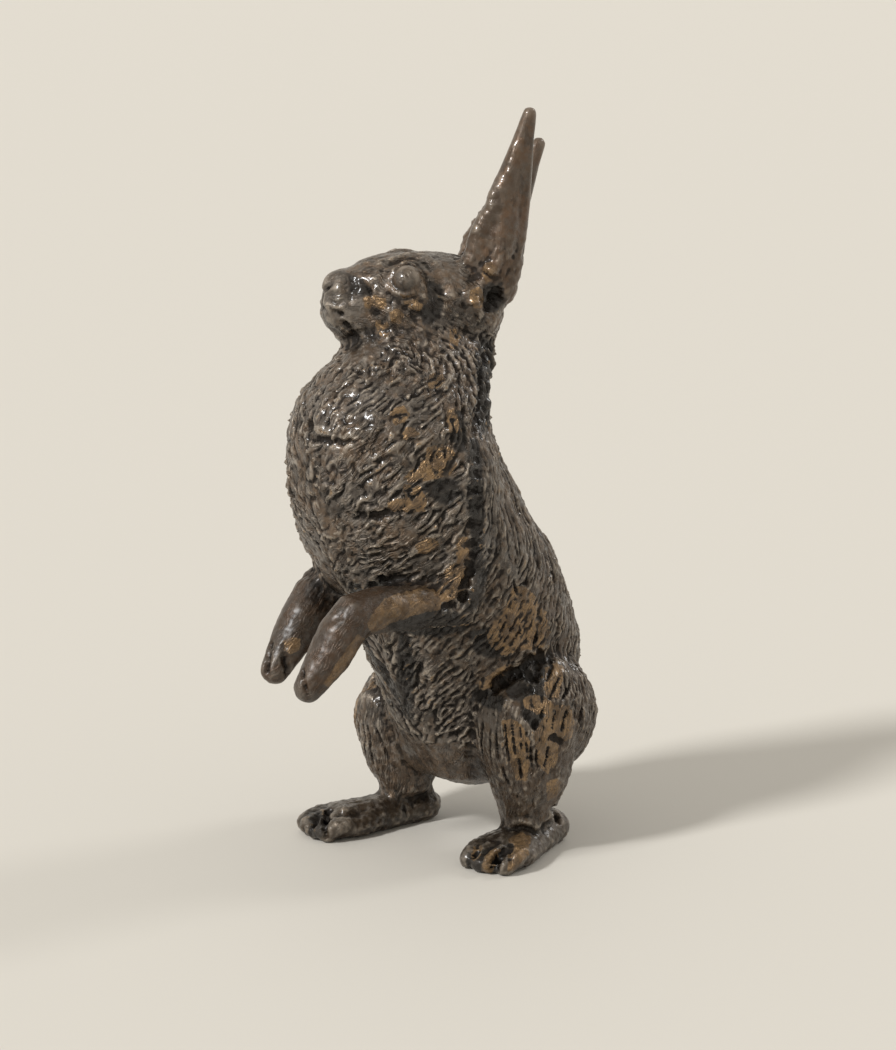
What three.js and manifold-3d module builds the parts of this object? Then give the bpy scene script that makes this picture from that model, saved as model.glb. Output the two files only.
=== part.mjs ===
// A small bronze rabbit that stands upright on its hind feet and looks to its right.
// It is made of eleven castings and the ten brass pins that locate them on each other.
// Millimetres, +Z up. The rabbit faces -Y and its own left side is +X.
import * as THREE from 'three'
import { mergeVertices } from 'three/addons/utils/BufferGeometryUtils.js'
import Module from 'manifold-3d'

const wasm = await Module()
wasm.setup()

// Fits
const solderGap = 0.3
const pinClearance = 0.3
const pinEndClearance = 0.4

// How finely the round forms are cut
const bodySides = 28
const headSides = 24
const limbSides = 16
const toeSides = 8
const ballSides = 12
const pinSides = 16
const bodyRings = 3
const limbRings = 2
const capRings = 3

// Body, from the seat up into the head
// Each section has its rise above the one below it, its middle front to back, and its half sizes
const body = {
  seat: { rise: 8.6, middle: 7, halfWidth: 5.8, halfDepth: 7 },
  rump: { rise: 3.9, middle: 7.4, halfWidth: 8, halfDepth: 9.8 },
  hips: { rise: 4, middle: 7, halfWidth: 9.4, halfDepth: 11.2 },
  loin: { rise: 4.5, middle: 5.9, halfWidth: 10.2, halfDepth: 12.2 },
  waist: { rise: 4.5, middle: 3.8, halfWidth: 10.6, halfDepth: 12.2 },
  ribs: { rise: 4.5, middle: 0.7, halfWidth: 11, halfDepth: 13.2 },
  breast: { rise: 6.5, middle: -3.3, halfWidth: 10.9, halfDepth: 12 },
  ruff: { rise: 6.5, middle: -5.5, halfWidth: 9.9, halfDepth: 10.6 },
  collar: { rise: 4, middle: -5.2, halfWidth: 9.2, halfDepth: 9.8 },
  throat: { rise: 3.8, middle: -2.4, halfWidth: 7.4, halfDepth: 8.8 },
  nape: { rise: 3.2, middle: -0.4, halfWidth: 5.6, halfDepth: 6.8 },
}
const seatDrop = 3.2
const napeRise = 4
const neckJointUnderThroat = 0.4

// Head, turned to the rabbit's right, with its sections stepping forward from the back of the skull
const headTurn = THREE.MathUtils.degToRad(30)
const skullOverThroat = 5.4
const skullBehindThroat = 1.9
const skullBack = 6
const skull = {
  back: { step: 0, rise: -0.8, halfWidth: 4.4, halfHeight: 4.1 },
  earLine: { step: 2.2, rise: -0.5, halfWidth: 5.2, halfHeight: 4.7 },
  crown: { step: 2.8, rise: 0, halfWidth: 5.5, halfHeight: 5 },
  eyes: { step: 3, rise: 0.2, halfWidth: 5.2, halfHeight: 4.9 },
  cheeks: { step: 2.8, rise: 0.3, halfWidth: 4.4, halfHeight: 4.6 },
  bridge: { step: 2.6, rise: 0.3, halfWidth: 3.3, halfHeight: 3.9 },
  muzzle: { step: 1.9, rise: 0.7, halfWidth: 2.5, halfHeight: 3 },
}
const napeCap = 1.5
const noseCap = 1.2
const eye = { ahead: 0.8, inset: 1.5, rise: 2.3, radius: 1.5 }
const chin = { ahead: 0.1, inset: 1.2, radius: 1.9 }

// Ears, from the root in the skull to the tip, leaning back from the crown
const earRoot = { behind: 1.8, inset: 2.5, rise: 2 }
const earHalfWidths = { root: 2.9, swell: 2.7, middle: 2.2, upper: 1.4, tip: 0.7 }
const earHalfDepths = { root: 2, swell: 1.9, middle: 1.5, upper: 1.2, tip: 0.7 }
const earHollow = { widthShare: 0.45, depthShare: 0.5, backShare: 0.3, lowerEnd: 1.4, upperEnd: 0.3 }
const leftEar = { height: 17, back: 4.1, spread: 0 }
const rightEar = { height: 13.6, back: 6.8, spread: 0.4 }

// Forelegs, measured from the shoulder: the upper arm belongs to the torso casting
const shoulder = { inset: 3.4, rise: 2.5, halfWidth: 3.6, halfDepth: 5 }
const upperArm = { halfWidth: 3.3, halfDepth: 4.6, elbowHalf: 2.5 }
const forearm = { half: 2.3, wristHalf: 2.3, pawHalfWidth: 2.3, pawHalfDepth: 2, tipHalf: 1.5 }
const pawShare = 0.55
const elbowJoint = 3.2
const leftArm = {
  elbow: { out: 0.9, forward: 1.6, drop: 10.9 },
  wrist: { out: -1.1, forward: 13.2, drop: 10.8 },
  tip: { out: -2.4, forward: 18, drop: 17.2 },
}
const rightArm = {
  elbow: { out: 0.9, forward: 1.6, drop: 11.4 },
  wrist: { out: -1.6, forward: 7.2, drop: 12 },
  tip: { out: -2, forward: 12.9, drop: 18.4 },
}

// Hind legs, measured from the hips
const haunch = { inset: 0.4, forward: 1, halfWidth: 4.6, halfHeight: 7 }
const haunchRear = { inset: 1.3, back: 5.4, drop: 2, halfWidth: 3.7, halfHeight: 5.4, cap: 3 }
const knee = { out: 0.2, halfWidth: 3.7, halfHeight: 4.7, cap: 2.2 }
const shank = { forward: 0.6, drop: 2.5, halfWidth: 4, halfDepth: 6, cap: 2 }
const calf = { share: 0.6, halfWidth: 3.5, halfDepth: 4.3 }
const ankle = { rise: 0.8, halfWidth: 2.7, halfDepth: 3.1, cap: 1.5 }
const leftLeg = { drop: 1.9, kneeForward: 4.4, kneeDrop: 0.6 }
const rightLeg = { drop: 5.2, kneeForward: 4.2, kneeDrop: 1 }

// Feet: heel and toes stand on the ground and splay outward
// The sole is filed flat: before that the foot reached soleCut below the ground
const footSplay = THREE.MathUtils.degToRad(13)
const foot = {
  halfStance: 8.7,
  heelHalf: 2.3,
  archHalf: 2.8,
  ballHalf: 3.7,
  ballCap: 1.6,
  height: 3.4,
  ballHeight: 3,
  soleCut: 0.6,
}
const leftFoot = { back: 4.2, length: 16, ankleFromHeel: 6.6 }
const rightFoot = { back: -0.2, length: 16.6, ankleFromHeel: 4 }
const toeCount = 4
const toe = { radius: 1.05, length: 4.8, knuckleRise: 1.4, knuckleHalf: 1.2, tipRise: 0.95, setBack: 0.37 }
const toeSpread = THREE.MathUtils.degToRad(6)

// Tail: a short scut pressed up against the back of the rump
const tail = { stand: 0.9, halfWidth: 2.4, halfDepth: 1.9 }
const tailRoot = { drop: 3.2, inset: 1.4, half: 1.8 }
const tailTip = { rise: 2.2, half: 1.3 }

// Locating pins
const neckPin = { radius: 1.6, length: 9 }
const earPin = { radius: 0.6, length: 3.4, alongEar: 2.4 }
const forelegPin = { radius: 0.8, length: 5 }
const hipPin = { radius: 1.2, length: 6 }
const anklePin = { radius: 0.8, length: 4.4 }
const tailPin = { radius: 0.6, length: 3 }

// Metals
const bronze = { color: 0x4a4038, roughness: 0.5, metalness: 0.8 }
const bronzeEar = { color: 0x5e4a36, roughness: 0.38, metalness: 0.85 }
const bronzePaw = { color: 0x54463a, roughness: 0.45, metalness: 0.82 }
const bronzeFoot = { color: 0x4e4a40, roughness: 0.6, metalness: 0.7 }
const brass = { color: 0xb08d4c, roughness: 0.35, metalness: 0.95 }

// Directions
const acrossBody = new THREE.Vector3(1, 0, 0)
const backward = new THREE.Vector3(0, 1, 0)
const upward = new THREE.Vector3(0, 0, 1)
const downward = new THREE.Vector3(0, 0, -1)
const headForward = new THREE.Vector3(-Math.sin(headTurn), -Math.cos(headTurn), 0)
const headLeft = new THREE.Vector3(Math.cos(headTurn), -Math.sin(headTurn), 0)
const point = (x, y, z) => new THREE.Vector3(x, y, z)
const moved = (place, way, distance) => place.clone().addScaledVector(way, distance)

// A closed solid from a triangle mesh whose shared vertices are merged
function toSolid(geometry) {
  const bare = geometry.clone()
  bare.deleteAttribute('normal')
  bare.deleteAttribute('uv')
  const merged = mergeVertices(bare, 1e-5)
  return new wasm.Manifold(
    new wasm.Mesh({
      numProp: 3,
      vertProperties: Float32Array.from(merged.attributes.position.array),
      triVerts: Uint32Array.from(merged.index.array),
    }),
  )
}

// The triangle mesh of a solid
function toGeometry(solid) {
  const mesh = solid.getMesh()
  const geometry = new THREE.BufferGeometry()
  geometry.setAttribute('position', new THREE.BufferAttribute(Float32Array.from(mesh.vertProperties), 3))
  geometry.setIndex(new THREE.BufferAttribute(Uint32Array.from(mesh.triVerts), 1))
  geometry.computeVertexNormals()
  return geometry
}

// The rings of points of a round-ended form along a curve through the stations
// A station has its middle, and its half sizes across the side direction and square to it
// The sections stand square to the curve, or to the direction given as facing
function loftRings(stations, { side, sides, rings = limbRings, startCap, endCap, grow = 0, facing = null }) {
  const spine = new THREE.CatmullRomCurve3(stations.map((station) => station.at), false, 'centripetal')
  const sizePoints = stations.map((station) => new THREE.Vector2(station.wide, station.deep))
  const sizes = new THREE.SplineCurve(sizePoints)
  const steps = (stations.length - 1) * rings
  const tangentAt = (share) => facing ?? spine.getTangent(share)
  const ringAt = (middle, tangent, wide, deep) => {
    const deepWay = new THREE.Vector3().crossVectors(tangent, side).normalize()
    const wideWay = new THREE.Vector3().crossVectors(deepWay, tangent).normalize()
    return Array.from({ length: sides }, (_, k) => {
      const angle = (2 * Math.PI * k) / sides
      return moved(moved(middle, wideWay, wide * Math.cos(angle)), deepWay, deep * Math.sin(angle))
    })
  }
  const capRing = (station, tangent, cap, turn) => {
    const shrink = Math.sin(turn)
    const middle = moved(station.at, tangent, cap * Math.cos(turn))
    return ringAt(middle, tangent, (station.wide + grow) * shrink, (station.deep + grow) * shrink)
  }
  const first = stations[0]
  const last = stations[stations.length - 1]
  const turns = Array.from({ length: capRings - 1 }, (_, k) => (Math.PI / 2) * ((k + 1) / capRings))
  const found = turns.map((turn) => capRing(first, tangentAt(0), -startCap - grow, turn))
  for (let k = 0; k <= steps; k += 1) {
    const size = sizes.getPoint(k / steps)
    found.push(ringAt(spine.getPoint(k / steps), tangentAt(k / steps), size.x + grow, size.y + grow))
  }
  for (const turn of turns.reverse()) {
    found.push(capRing(last, tangentAt(1), endCap + grow, turn))
  }
  const startPole = moved(first.at, tangentAt(0), -startCap - grow)
  const endPole = moved(last.at, tangentAt(1), endCap + grow)
  return { found, startPole, endPole }
}

// The closed solid over those rings
function loft(stations, shape) {
  const { found, startPole, endPole } = loftRings(stations, shape)
  const { sides } = shape
  const points = [...found.flat(), startPole, endPole]
  const startIndex = points.length - 2
  const endIndex = points.length - 1
  const lastRing = (found.length - 1) * sides
  const faces = []
  for (let k = 0; k < sides; k += 1) {
    const next = (k + 1) % sides
    faces.push(startIndex, next, k)
    faces.push(endIndex, lastRing + k, lastRing + next)
    for (let low = 0; low < lastRing; low += sides) {
      const high = low + sides
      faces.push(low + k, low + next, high + next)
      faces.push(low + k, high + next, high + k)
    }
  }
  const geometry = new THREE.BufferGeometry().setFromPoints(points)
  geometry.setIndex(faces)
  return toSolid(geometry)
}

// A round rod between two points
function rod(from, to, radius) {
  const geometry = new THREE.CylinderGeometry(radius, radius, from.distanceTo(to), pinSides)
  const way = to.clone().sub(from).normalize()
  geometry.applyQuaternion(new THREE.Quaternion().setFromUnitVectors(backward, way))
  const middle = from.clone().lerp(to, 0.5)
  geometry.translate(middle.x, middle.y, middle.z)
  return toSolid(geometry)
}

function ball(middle, radius) {
  const geometry = new THREE.SphereGeometry(radius, ballSides, ballSides / 2)
  geometry.translate(middle.x, middle.y, middle.z)
  return toSolid(geometry)
}

// All the room on the side of a plane that a direction points to
const reach = 200
function roomBeyond(place, way) {
  const geometry = new THREE.BoxGeometry(reach, reach, reach)
  geometry.translate(0, 0, reach / 2)
  geometry.applyQuaternion(new THREE.Quaternion().setFromUnitVectors(upward, way))
  geometry.translate(place.x, place.y, place.z)
  return toSolid(geometry)
}

// The rooms on both sides of a joint, half a solder gap clear of it
function roomsAt(joint, way) {
  const back = way.clone().negate()
  return {
    ahead: roomBeyond(moved(joint, way, solderGap / 2), way),
    behind: roomBeyond(moved(joint, back, solderGap / 2), back),
  }
}

// A pin across a joint, and the hole that it takes in the pieces on both sides
function pinAt(joint, way, size) {
  const half = size.length / 2
  const deep = half + pinEndClearance
  return {
    pin: rod(moved(joint, way, -half), moved(joint, way, half), size.radius),
    hole: rod(moved(joint, way, -deep), moved(joint, way, deep), size.radius + pinClearance),
  }
}

// Heights of the body sections above the ground, added up from their rises
const heights = {}
let reached = 0
for (const [name, section] of Object.entries(body)) {
  reached += section.rise
  heights[name] = reached
}
const neckJointHeight = heights.throat - neckJointUnderThroat

// The body from seat to nape, with a slightly larger one that keeps the solder gap round it
function makeBody(grow) {
  const stations = Object.entries(body).map(([name, section]) => ({
    at: point(0, section.middle, heights[name]),
    wide: section.halfWidth,
    deep: section.halfDepth,
  }))
  const ends = { startCap: seatDrop, endCap: napeRise }
  const shape = { side: acrossBody, sides: bodySides, rings: bodyRings, facing: upward }
  return loft(stations, { ...shape, ...ends, grow })
}

// How far forward of the middle of the skull each of its sections lies
const ahead = {}
let stepped = -skullBack
for (const [name, section] of Object.entries(skull)) {
  stepped += section.step
  ahead[name] = stepped
}
const skullMiddle = point(0, body.throat.middle + skullBehindThroat, heights.throat + skullOverThroat)

function onHead(forward, left, rise) {
  return moved(moved(moved(skullMiddle, headForward, forward), headLeft, left), upward, rise)
}

// The skull, from the nape to the nose
function makeSkull(grow) {
  const stations = Object.entries(skull).map(([name, section]) => ({
    at: onHead(ahead[name], 0, section.rise),
    wide: section.halfWidth,
    deep: section.halfHeight,
  }))
  const ends = { startCap: napeCap, endCap: noseCap }
  return loft(stations, { side: headLeft, sides: headSides, rings: bodyRings, ...ends, grow })
}

// The head casting: skull, chin, both eyes and the neck down to its joint
function makeHead(neckForm) {
  const chinRise = skull.bridge.rise - skull.bridge.halfHeight + chin.inset
  const chinPlace = onHead(ahead.bridge + chin.ahead, 0, chinRise)
  let head = makeSkull(0).add(neckForm).add(ball(chinPlace, chin.radius))
  for (const way of [1, -1]) {
    const out = skull.eyes.halfWidth - eye.inset
    head = head.add(ball(onHead(ahead.eyes + eye.ahead, way * out, skull.eyes.rise + eye.rise), eye.radius))
  }
  return head
}

// An ear with the hollow down its outer face
function makeEar(way, ear) {
  const out = skull.earLine.halfWidth - earRoot.inset
  const root = onHead(ahead.earLine - earRoot.behind, way * out, skull.earLine.rise + earRoot.rise)
  const lean = moved(moved(root, headForward, -ear.back), headLeft, way * ear.spread)
  const tip = moved(lean, upward, ear.height)
  const names = Object.keys(earHalfWidths)
  const stations = names.map((name, k) => ({
    at: root.clone().lerp(tip, k / (names.length - 1)),
    wide: earHalfWidths[name],
    deep: earHalfDepths[name],
  }))
  const shape = { side: headForward, sides: limbSides }
  const form = loft(stations, { ...shape, startCap: earHalfDepths.root, endCap: earHalfDepths.tip })
  const hollowStations = stations.slice(1).map(({ at, wide, deep }) => ({
    at: moved(moved(at, headLeft, way * deep), headForward, -wide * earHollow.backShare),
    wide: wide * earHollow.widthShare,
    deep: deep * earHollow.depthShare,
  }))
  const hollow = loft(hollowStations, { ...shape, startCap: earHollow.lowerEnd, endCap: earHollow.upperEnd })
  const earWay = tip.clone().sub(root).normalize()
  return { form: form.subtract(hollow), joint: moved(root, earWay, earPin.alongEar), earWay }
}

// An upper arm, and the forearm with its hanging paw
function makeForeleg(way, arm) {
  const top = point(
    way * (body.breast.halfWidth - shoulder.inset),
    body.breast.middle,
    heights.breast + shoulder.rise,
  )
  const place = (spot) => point(top.x + way * spot.out, top.y - spot.forward, top.z - spot.drop)
  const elbow = place(arm.elbow)
  const wrist = place(arm.wrist)
  const tip = place(arm.tip)
  const shape = { side: acrossBody, sides: limbSides }
  const upper = loft(
    [
      { at: top, wide: shoulder.halfWidth, deep: shoulder.halfDepth },
      { at: top.clone().lerp(elbow, 0.5), wide: upperArm.halfWidth, deep: upperArm.halfDepth },
      { at: elbow, wide: upperArm.elbowHalf, deep: upperArm.elbowHalf },
    ],
    { ...shape, startCap: shoulder.halfWidth, endCap: upperArm.elbowHalf },
  )
  const lower = loft(
    [
      { at: elbow, wide: upperArm.elbowHalf, deep: upperArm.elbowHalf },
      { at: elbow.clone().lerp(wrist, 0.5), wide: forearm.half, deep: forearm.half },
      { at: wrist, wide: forearm.wristHalf, deep: forearm.wristHalf },
      { at: wrist.clone().lerp(tip, pawShare), wide: forearm.pawHalfWidth, deep: forearm.pawHalfDepth },
      { at: tip, wide: forearm.tipHalf, deep: forearm.tipHalf },
    ],
    { ...shape, startCap: upperArm.elbowHalf, endCap: forearm.tipHalf },
  )
  const forearmWay = wrist.clone().sub(elbow).normalize()
  return { upper, lower, joint: moved(elbow, forearmWay, elbowJoint), forearmWay }
}

// Where a foot's heel, ball and ankle lie, and which way it points
function footPlaces(way, size) {
  const toeWay = point(way * Math.sin(footSplay), -Math.cos(footSplay), 0)
  const across = point(way * Math.cos(footSplay), Math.sin(footSplay), 0)
  const middle = point(way * foot.halfStance, size.back, (foot.height - foot.soleCut) / 2)
  const end = moved(middle, toeWay, -size.length / 2)
  return {
    toeWay,
    across,
    heel: moved(end, toeWay, foot.heelHalf),
    ball: moved(end, toeWay, size.length - toe.length).setZ((foot.ballHeight - foot.soleCut) / 2),
    ankleAt: moved(end, toeWay, size.ankleFromHeel).setZ(foot.height),
  }
}

// One toe, from the ball of the foot over its knuckle to the ground
// The step counts the toes outward from the middle of the foot
function makeToe(toeWay, across, ballAt, step) {
  const pitch = (2 * (foot.ballHalf - toe.radius)) / (toeCount - 1)
  const turn = Math.sign(across.x) * -step * toeSpread
  const ownWay = toeWay.clone().applyAxisAngle(upward, turn)
  const from = moved(ballAt, across, step * pitch)
  const length = toe.length - toe.radius - Math.abs(step) * toe.setBack
  return loft(
    [
      { at: from, wide: toe.radius, deep: toe.radius },
      { at: moved(from, ownWay, length / 2).setZ(toe.knuckleRise), wide: toe.radius, deep: toe.knuckleHalf },
      { at: moved(from, ownWay, length).setZ(toe.tipRise), wide: toe.radius, deep: toe.radius },
    ],
    { side: across, sides: toeSides, startCap: toe.radius, endCap: toe.radius },
  )
}

// A hind foot: heel, arch, ball and toes
function makeFoot(way, size) {
  const { toeWay, across, heel, ball: ballAt } = footPlaces(way, size)
  const arch = heel.clone().lerp(ballAt, 0.5)
  let form = loft(
    [
      { at: heel, wide: foot.heelHalf, deep: heel.z + foot.soleCut },
      { at: arch, wide: foot.archHalf, deep: arch.z + foot.soleCut },
      { at: ballAt, wide: foot.ballHalf, deep: ballAt.z + foot.soleCut },
    ],
    { side: across, sides: limbSides, startCap: foot.heelHalf, endCap: foot.ballCap },
  )
  for (let k = 0; k < toeCount; k += 1) {
    form = form.add(makeToe(toeWay, across, ballAt, k - (toeCount - 1) / 2))
  }
  return form
}

// A hind leg: the rounded haunch on the flank, and the shank down to the ankle
function makeHindLeg(way, leg, size) {
  const { ankleAt } = footPlaces(way, size)
  const side = body.hips.halfWidth - haunch.inset
  const middle = point(way * side, body.hips.middle - haunch.forward, heights.hips - leg.drop)
  const rearSide = side - haunchRear.inset
  const rearAt = point(way * rearSide, middle.y + haunchRear.back, middle.z - haunchRear.drop)
  const kneeAt = point(way * (side + knee.out), middle.y - leg.kneeForward, middle.z - leg.kneeDrop)
  const shape = { side: acrossBody, sides: limbSides }
  const thigh = loft(
    [
      { at: rearAt, wide: haunchRear.halfWidth, deep: haunchRear.halfHeight },
      { at: middle, wide: haunch.halfWidth, deep: haunch.halfHeight },
      { at: kneeAt, wide: knee.halfWidth, deep: knee.halfHeight },
    ],
    { ...shape, startCap: haunchRear.cap, endCap: knee.cap },
  )
  const top = point(middle.x, middle.y - shank.forward, middle.z - shank.drop)
  const lower = loft(
    [
      { at: top, wide: shank.halfWidth, deep: shank.halfDepth },
      { at: top.clone().lerp(ankleAt, calf.share), wide: calf.halfWidth, deep: calf.halfDepth },
      { at: moved(ankleAt, upward, ankle.rise), wide: ankle.halfWidth, deep: ankle.halfDepth },
      { at: moved(ankleAt, downward, ankle.rise), wide: ankle.halfWidth, deep: ankle.halfDepth },
    ],
    { ...shape, startCap: shank.cap, endCap: ankle.cap, facing: downward },
  )
  return { form: thigh.add(lower), ankleAt, hipAt: point(way * body.hips.halfWidth, middle.y, middle.z) }
}

// The tail, up the back of the rump
function makeTail() {
  const back = body.rump.middle + body.rump.halfDepth
  const joint = point(0, back, heights.rump)
  const out = moved(joint, backward, tail.stand)
  const root = moved(moved(joint, downward, tailRoot.drop), backward, -tailRoot.inset)
  const form = loft(
    [
      { at: root, wide: tailRoot.half, deep: tailRoot.half },
      { at: out, wide: tail.halfWidth, deep: tail.halfDepth },
      { at: moved(out, upward, tailTip.rise), wide: tailTip.half, deep: tailTip.half },
    ],
    { side: acrossBody, sides: limbSides, startCap: tailRoot.half, endCap: tailTip.half },
  )
  return { form, joint }
}

const pieces = new Map()
const bodyForm = makeBody(0)
const bodyRoom = makeBody(solderGap)
const skullRoom = makeSkull(solderGap)

// Neck joint: the torso ends below it and the head begins above it
const neckAt = point(0, body.throat.middle, neckJointHeight)
const neckRooms = roomsAt(neckAt, upward)
const neck = pinAt(neckAt, upward, neckPin)
let torso = bodyForm.intersect(neckRooms.behind).subtract(neck.hole)
let head = makeHead(bodyForm.intersect(neckRooms.ahead)).subtract(neck.hole)
pieces.set('neck_pin', [neck.pin, brass])

// Ears, let into the head
for (const [name, way, ear] of [['left', 1, leftEar], ['right', -1, rightEar]]) {
  const { form, joint, earWay } = makeEar(way, ear)
  const held = pinAt(joint, earWay, earPin)
  head = head.subtract(held.hole)
  pieces.set(`${name}_ear`, [form.subtract(skullRoom).subtract(held.hole), bronzeEar])
  pieces.set(`${name}_ear_pin`, [held.pin, brass])
}

// Forelegs, joined to the torso casting just ahead of the elbow
for (const [name, way, arm] of [['left', 1, leftArm], ['right', -1, rightArm]]) {
  const { upper, lower, joint, forearmWay } = makeForeleg(way, arm)
  const rooms = roomsAt(joint, forearmWay)
  const held = pinAt(joint, forearmWay, forelegPin)
  torso = torso.add(upper.add(lower).intersect(rooms.behind)).subtract(held.hole)
  const foreleg = lower.intersect(rooms.ahead).subtract(bodyRoom).subtract(held.hole)
  pieces.set(`${name}_foreleg`, [foreleg, bronzePaw])
  pieces.set(`${name}_foreleg_pin`, [held.pin, brass])
}

// Hind legs on the flanks, and the feet under them
const groundAt = point(0, 0, 0)
for (const [name, way, leg, size] of [['left', 1, leftLeg, leftFoot], ['right', -1, rightLeg, rightFoot]]) {
  const { form, ankleAt, hipAt } = makeHindLeg(way, leg, size)
  const rooms = roomsAt(ankleAt, upward)
  const hip = pinAt(hipAt, acrossBody, hipPin)
  const joint = pinAt(ankleAt, upward, anklePin)
  const footForm = makeFoot(way, size).intersect(rooms.behind).intersect(roomBeyond(groundAt, upward))
  torso = torso.subtract(hip.hole)
  const legForm = form.subtract(bodyRoom).intersect(rooms.ahead)
  pieces.set(`${name}_hind_leg`, [legForm.subtract(hip.hole).subtract(joint.hole), bronze])
  pieces.set(`${name}_hind_foot`, [footForm.subtract(joint.hole), bronzeFoot])
  pieces.set(`${name}_hip_pin`, [hip.pin, brass])
  pieces.set(`${name}_ankle_pin`, [joint.pin, brass])
}

// Tail
const scut = makeTail()
const scutHeld = pinAt(scut.joint, backward, tailPin)
torso = torso.subtract(scutHeld.hole)
pieces.set('tail', [scut.form.subtract(bodyRoom).subtract(scutHeld.hole), bronze])
pieces.set('tail_pin', [scutHeld.pin, brass])

pieces.set('torso', [torso, bronze])
pieces.set('head', [head, bronze])

const rabbit = new THREE.Group()
for (const [name, [solid, metal]] of pieces) {
  const mesh = new THREE.Mesh(toGeometry(solid), new THREE.MeshStandardMaterial(metal))
  mesh.name = name
  rabbit.add(mesh)
}

// The origin lies on the ground, under the middle of the whole figure
const extent = new THREE.Box3().setFromObject(rabbit)
const middle = extent.getCenter(new THREE.Vector3())
rabbit.position.set(-middle.x, -middle.y, -extent.min.z)

const group = new THREE.Group()
group.add(rabbit)

export default group
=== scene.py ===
import itertools
import math
import time

import bmesh
import bpy
import numpy as np
from mathutils import Matrix, Vector
from mathutils.bvhtree import BVHTree
from mathutils.kdtree import KDTree


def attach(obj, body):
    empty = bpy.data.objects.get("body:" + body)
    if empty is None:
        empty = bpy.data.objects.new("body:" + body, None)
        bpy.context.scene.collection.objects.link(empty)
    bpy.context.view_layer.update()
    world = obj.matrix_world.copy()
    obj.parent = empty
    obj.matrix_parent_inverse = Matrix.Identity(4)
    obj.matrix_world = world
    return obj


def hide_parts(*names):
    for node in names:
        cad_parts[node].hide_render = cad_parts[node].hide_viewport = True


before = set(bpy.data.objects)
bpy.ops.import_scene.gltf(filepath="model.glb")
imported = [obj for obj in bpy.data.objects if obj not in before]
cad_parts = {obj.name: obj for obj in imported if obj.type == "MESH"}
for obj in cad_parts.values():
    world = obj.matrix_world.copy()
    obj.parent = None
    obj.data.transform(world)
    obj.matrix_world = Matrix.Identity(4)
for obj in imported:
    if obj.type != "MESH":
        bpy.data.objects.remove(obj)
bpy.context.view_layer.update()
started = time.time()

# Everything is modelled in millimetres and brought to metres at the end
mm = 0.001

# The seeds of all that is random, so that each run gives the same rabbit
randomSeeds = {
    "locks": 7, "rays": 3, "wander": (1, 2, 3), "uneven": 4, "swell": 5, "lumps": 6,
    "bend": (21, 22, 23), "strength": (31, 32),
}
dice = np.random.default_rng(randomSeeds["locks"])

# The photograph's view, in millimetres and in pixels of an image of 896 x 1050
photo = {
    "azimuth": 45,
    "elevation": 12,
    "distance": 280,
    "target": (2.5, 1.4375, 34.0),
    "focal": 2800,
    "width": 896,
    "height": 1050,
}
sensorSize = 36

# Where the head sits on the neck, and how far it is turned to the rabbit's right
headPose = {"middle": (0, 0.9375, 56.2), "turn": 30}


def report(stage):
    print(f"{stage} ({time.time() - started:.1f} s)")


def unit(vectors):
    lengths = np.linalg.norm(vectors, axis=-1, keepdims=True)
    return vectors / np.maximum(lengths, 1e-9)


# A smooth step from 0 at low to 1 at high
def ease(low, high, values):
    share = np.clip((np.asarray(values, float) - low) / (high - low), 0, 1)
    return share * share * (3 - 2 * share)


rippleWaves = {"count": 14, "spread": (0.6, 1.4), "divisor": 5}


# A soft random swell, mostly from -1 to 1, about as broad as the length given
def ripple(points, length, seed):
    waves = np.random.default_rng(seed)
    count = rippleWaves["count"]
    ways = unit(waves.normal(size=(count, 3))) * 2 * math.pi / length
    ways *= waves.uniform(*rippleWaves["spread"], (count, 1))
    starts = waves.uniform(0, 2 * math.pi, count)
    return np.sin(points @ ways.T + starts).sum(1) / rippleWaves["divisor"]


def only(obj):
    bpy.ops.object.select_all(action='DESELECT')
    obj.select_set(True)
    bpy.context.view_layer.objects.active = obj


def applied(obj, kind, **settings):
    only(obj)
    modifier = obj.modifiers.new(kind.lower(), kind)
    for name, value in settings.items():
        setattr(modifier, name, value)
    bpy.ops.object.modifier_apply(modifier=modifier.name)


# Camera
azimuth = math.radians(photo["azimuth"])
elevation = math.radians(photo["elevation"])
backWay = np.array([
    math.sin(azimuth) * math.cos(elevation),
    -math.cos(azimuth) * math.cos(elevation),
    math.sin(elevation),
])
rightWay = np.array([math.cos(azimuth), math.sin(azimuth), 0])
upWay = np.cross(backWay, rightWay)
eyePoint = np.array(photo["target"]) + backWay * photo["distance"]


def makeCamera():
    data = bpy.data.cameras.new("photo_camera")
    camera = bpy.data.objects.new("photo_camera", data)
    bpy.context.scene.collection.objects.link(camera)
    data.sensor_width = sensorSize
    data.lens = sensorSize * photo["focal"] / photo["height"]
    data.clip_start = 0.01
    data.clip_end = 50
    camera.location = Vector(eyePoint) * mm
    camera.rotation_mode = 'QUATERNION'
    camera.rotation_quaternion = (-Vector(backWay)).to_track_quat('-Z', 'Y')
    bpy.context.scene.camera = camera


makeCamera()


# The line of sight through a pixel of the photograph
def sightTo(pixel):
    across = (pixel[0] - photo["width"] / 2) / photo["focal"]
    up = (photo["height"] / 2 - pixel[1]) / photo["focal"]
    return unit(rightWay * across + upWay * up - backWay)


# Head places: how far ahead of the middle of the skull, how far to its left, how far up
headTurn = math.radians(headPose["turn"])
headForward = np.array([-math.sin(headTurn), -math.cos(headTurn), 0])
headLeft = np.array([math.cos(headTurn), -math.sin(headTurn), 0])
headMiddle = np.array(headPose["middle"])
upward = np.array([0, 0, 1.0])


def onHead(ahead, left, rise):
    return headMiddle + headForward * ahead + headLeft * left + upward * rise


# Ears run from the root in the skull to the tip
ears = {
    "left_ear": (onHead(-5.6, 2.7, 1.5), onHead(-9.7, 2.7, 18.5)),
    "right_ear": (onHead(-5.6, -2.7, 1.5), onHead(-12.4, -3.1, 15.1)),
}

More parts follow.
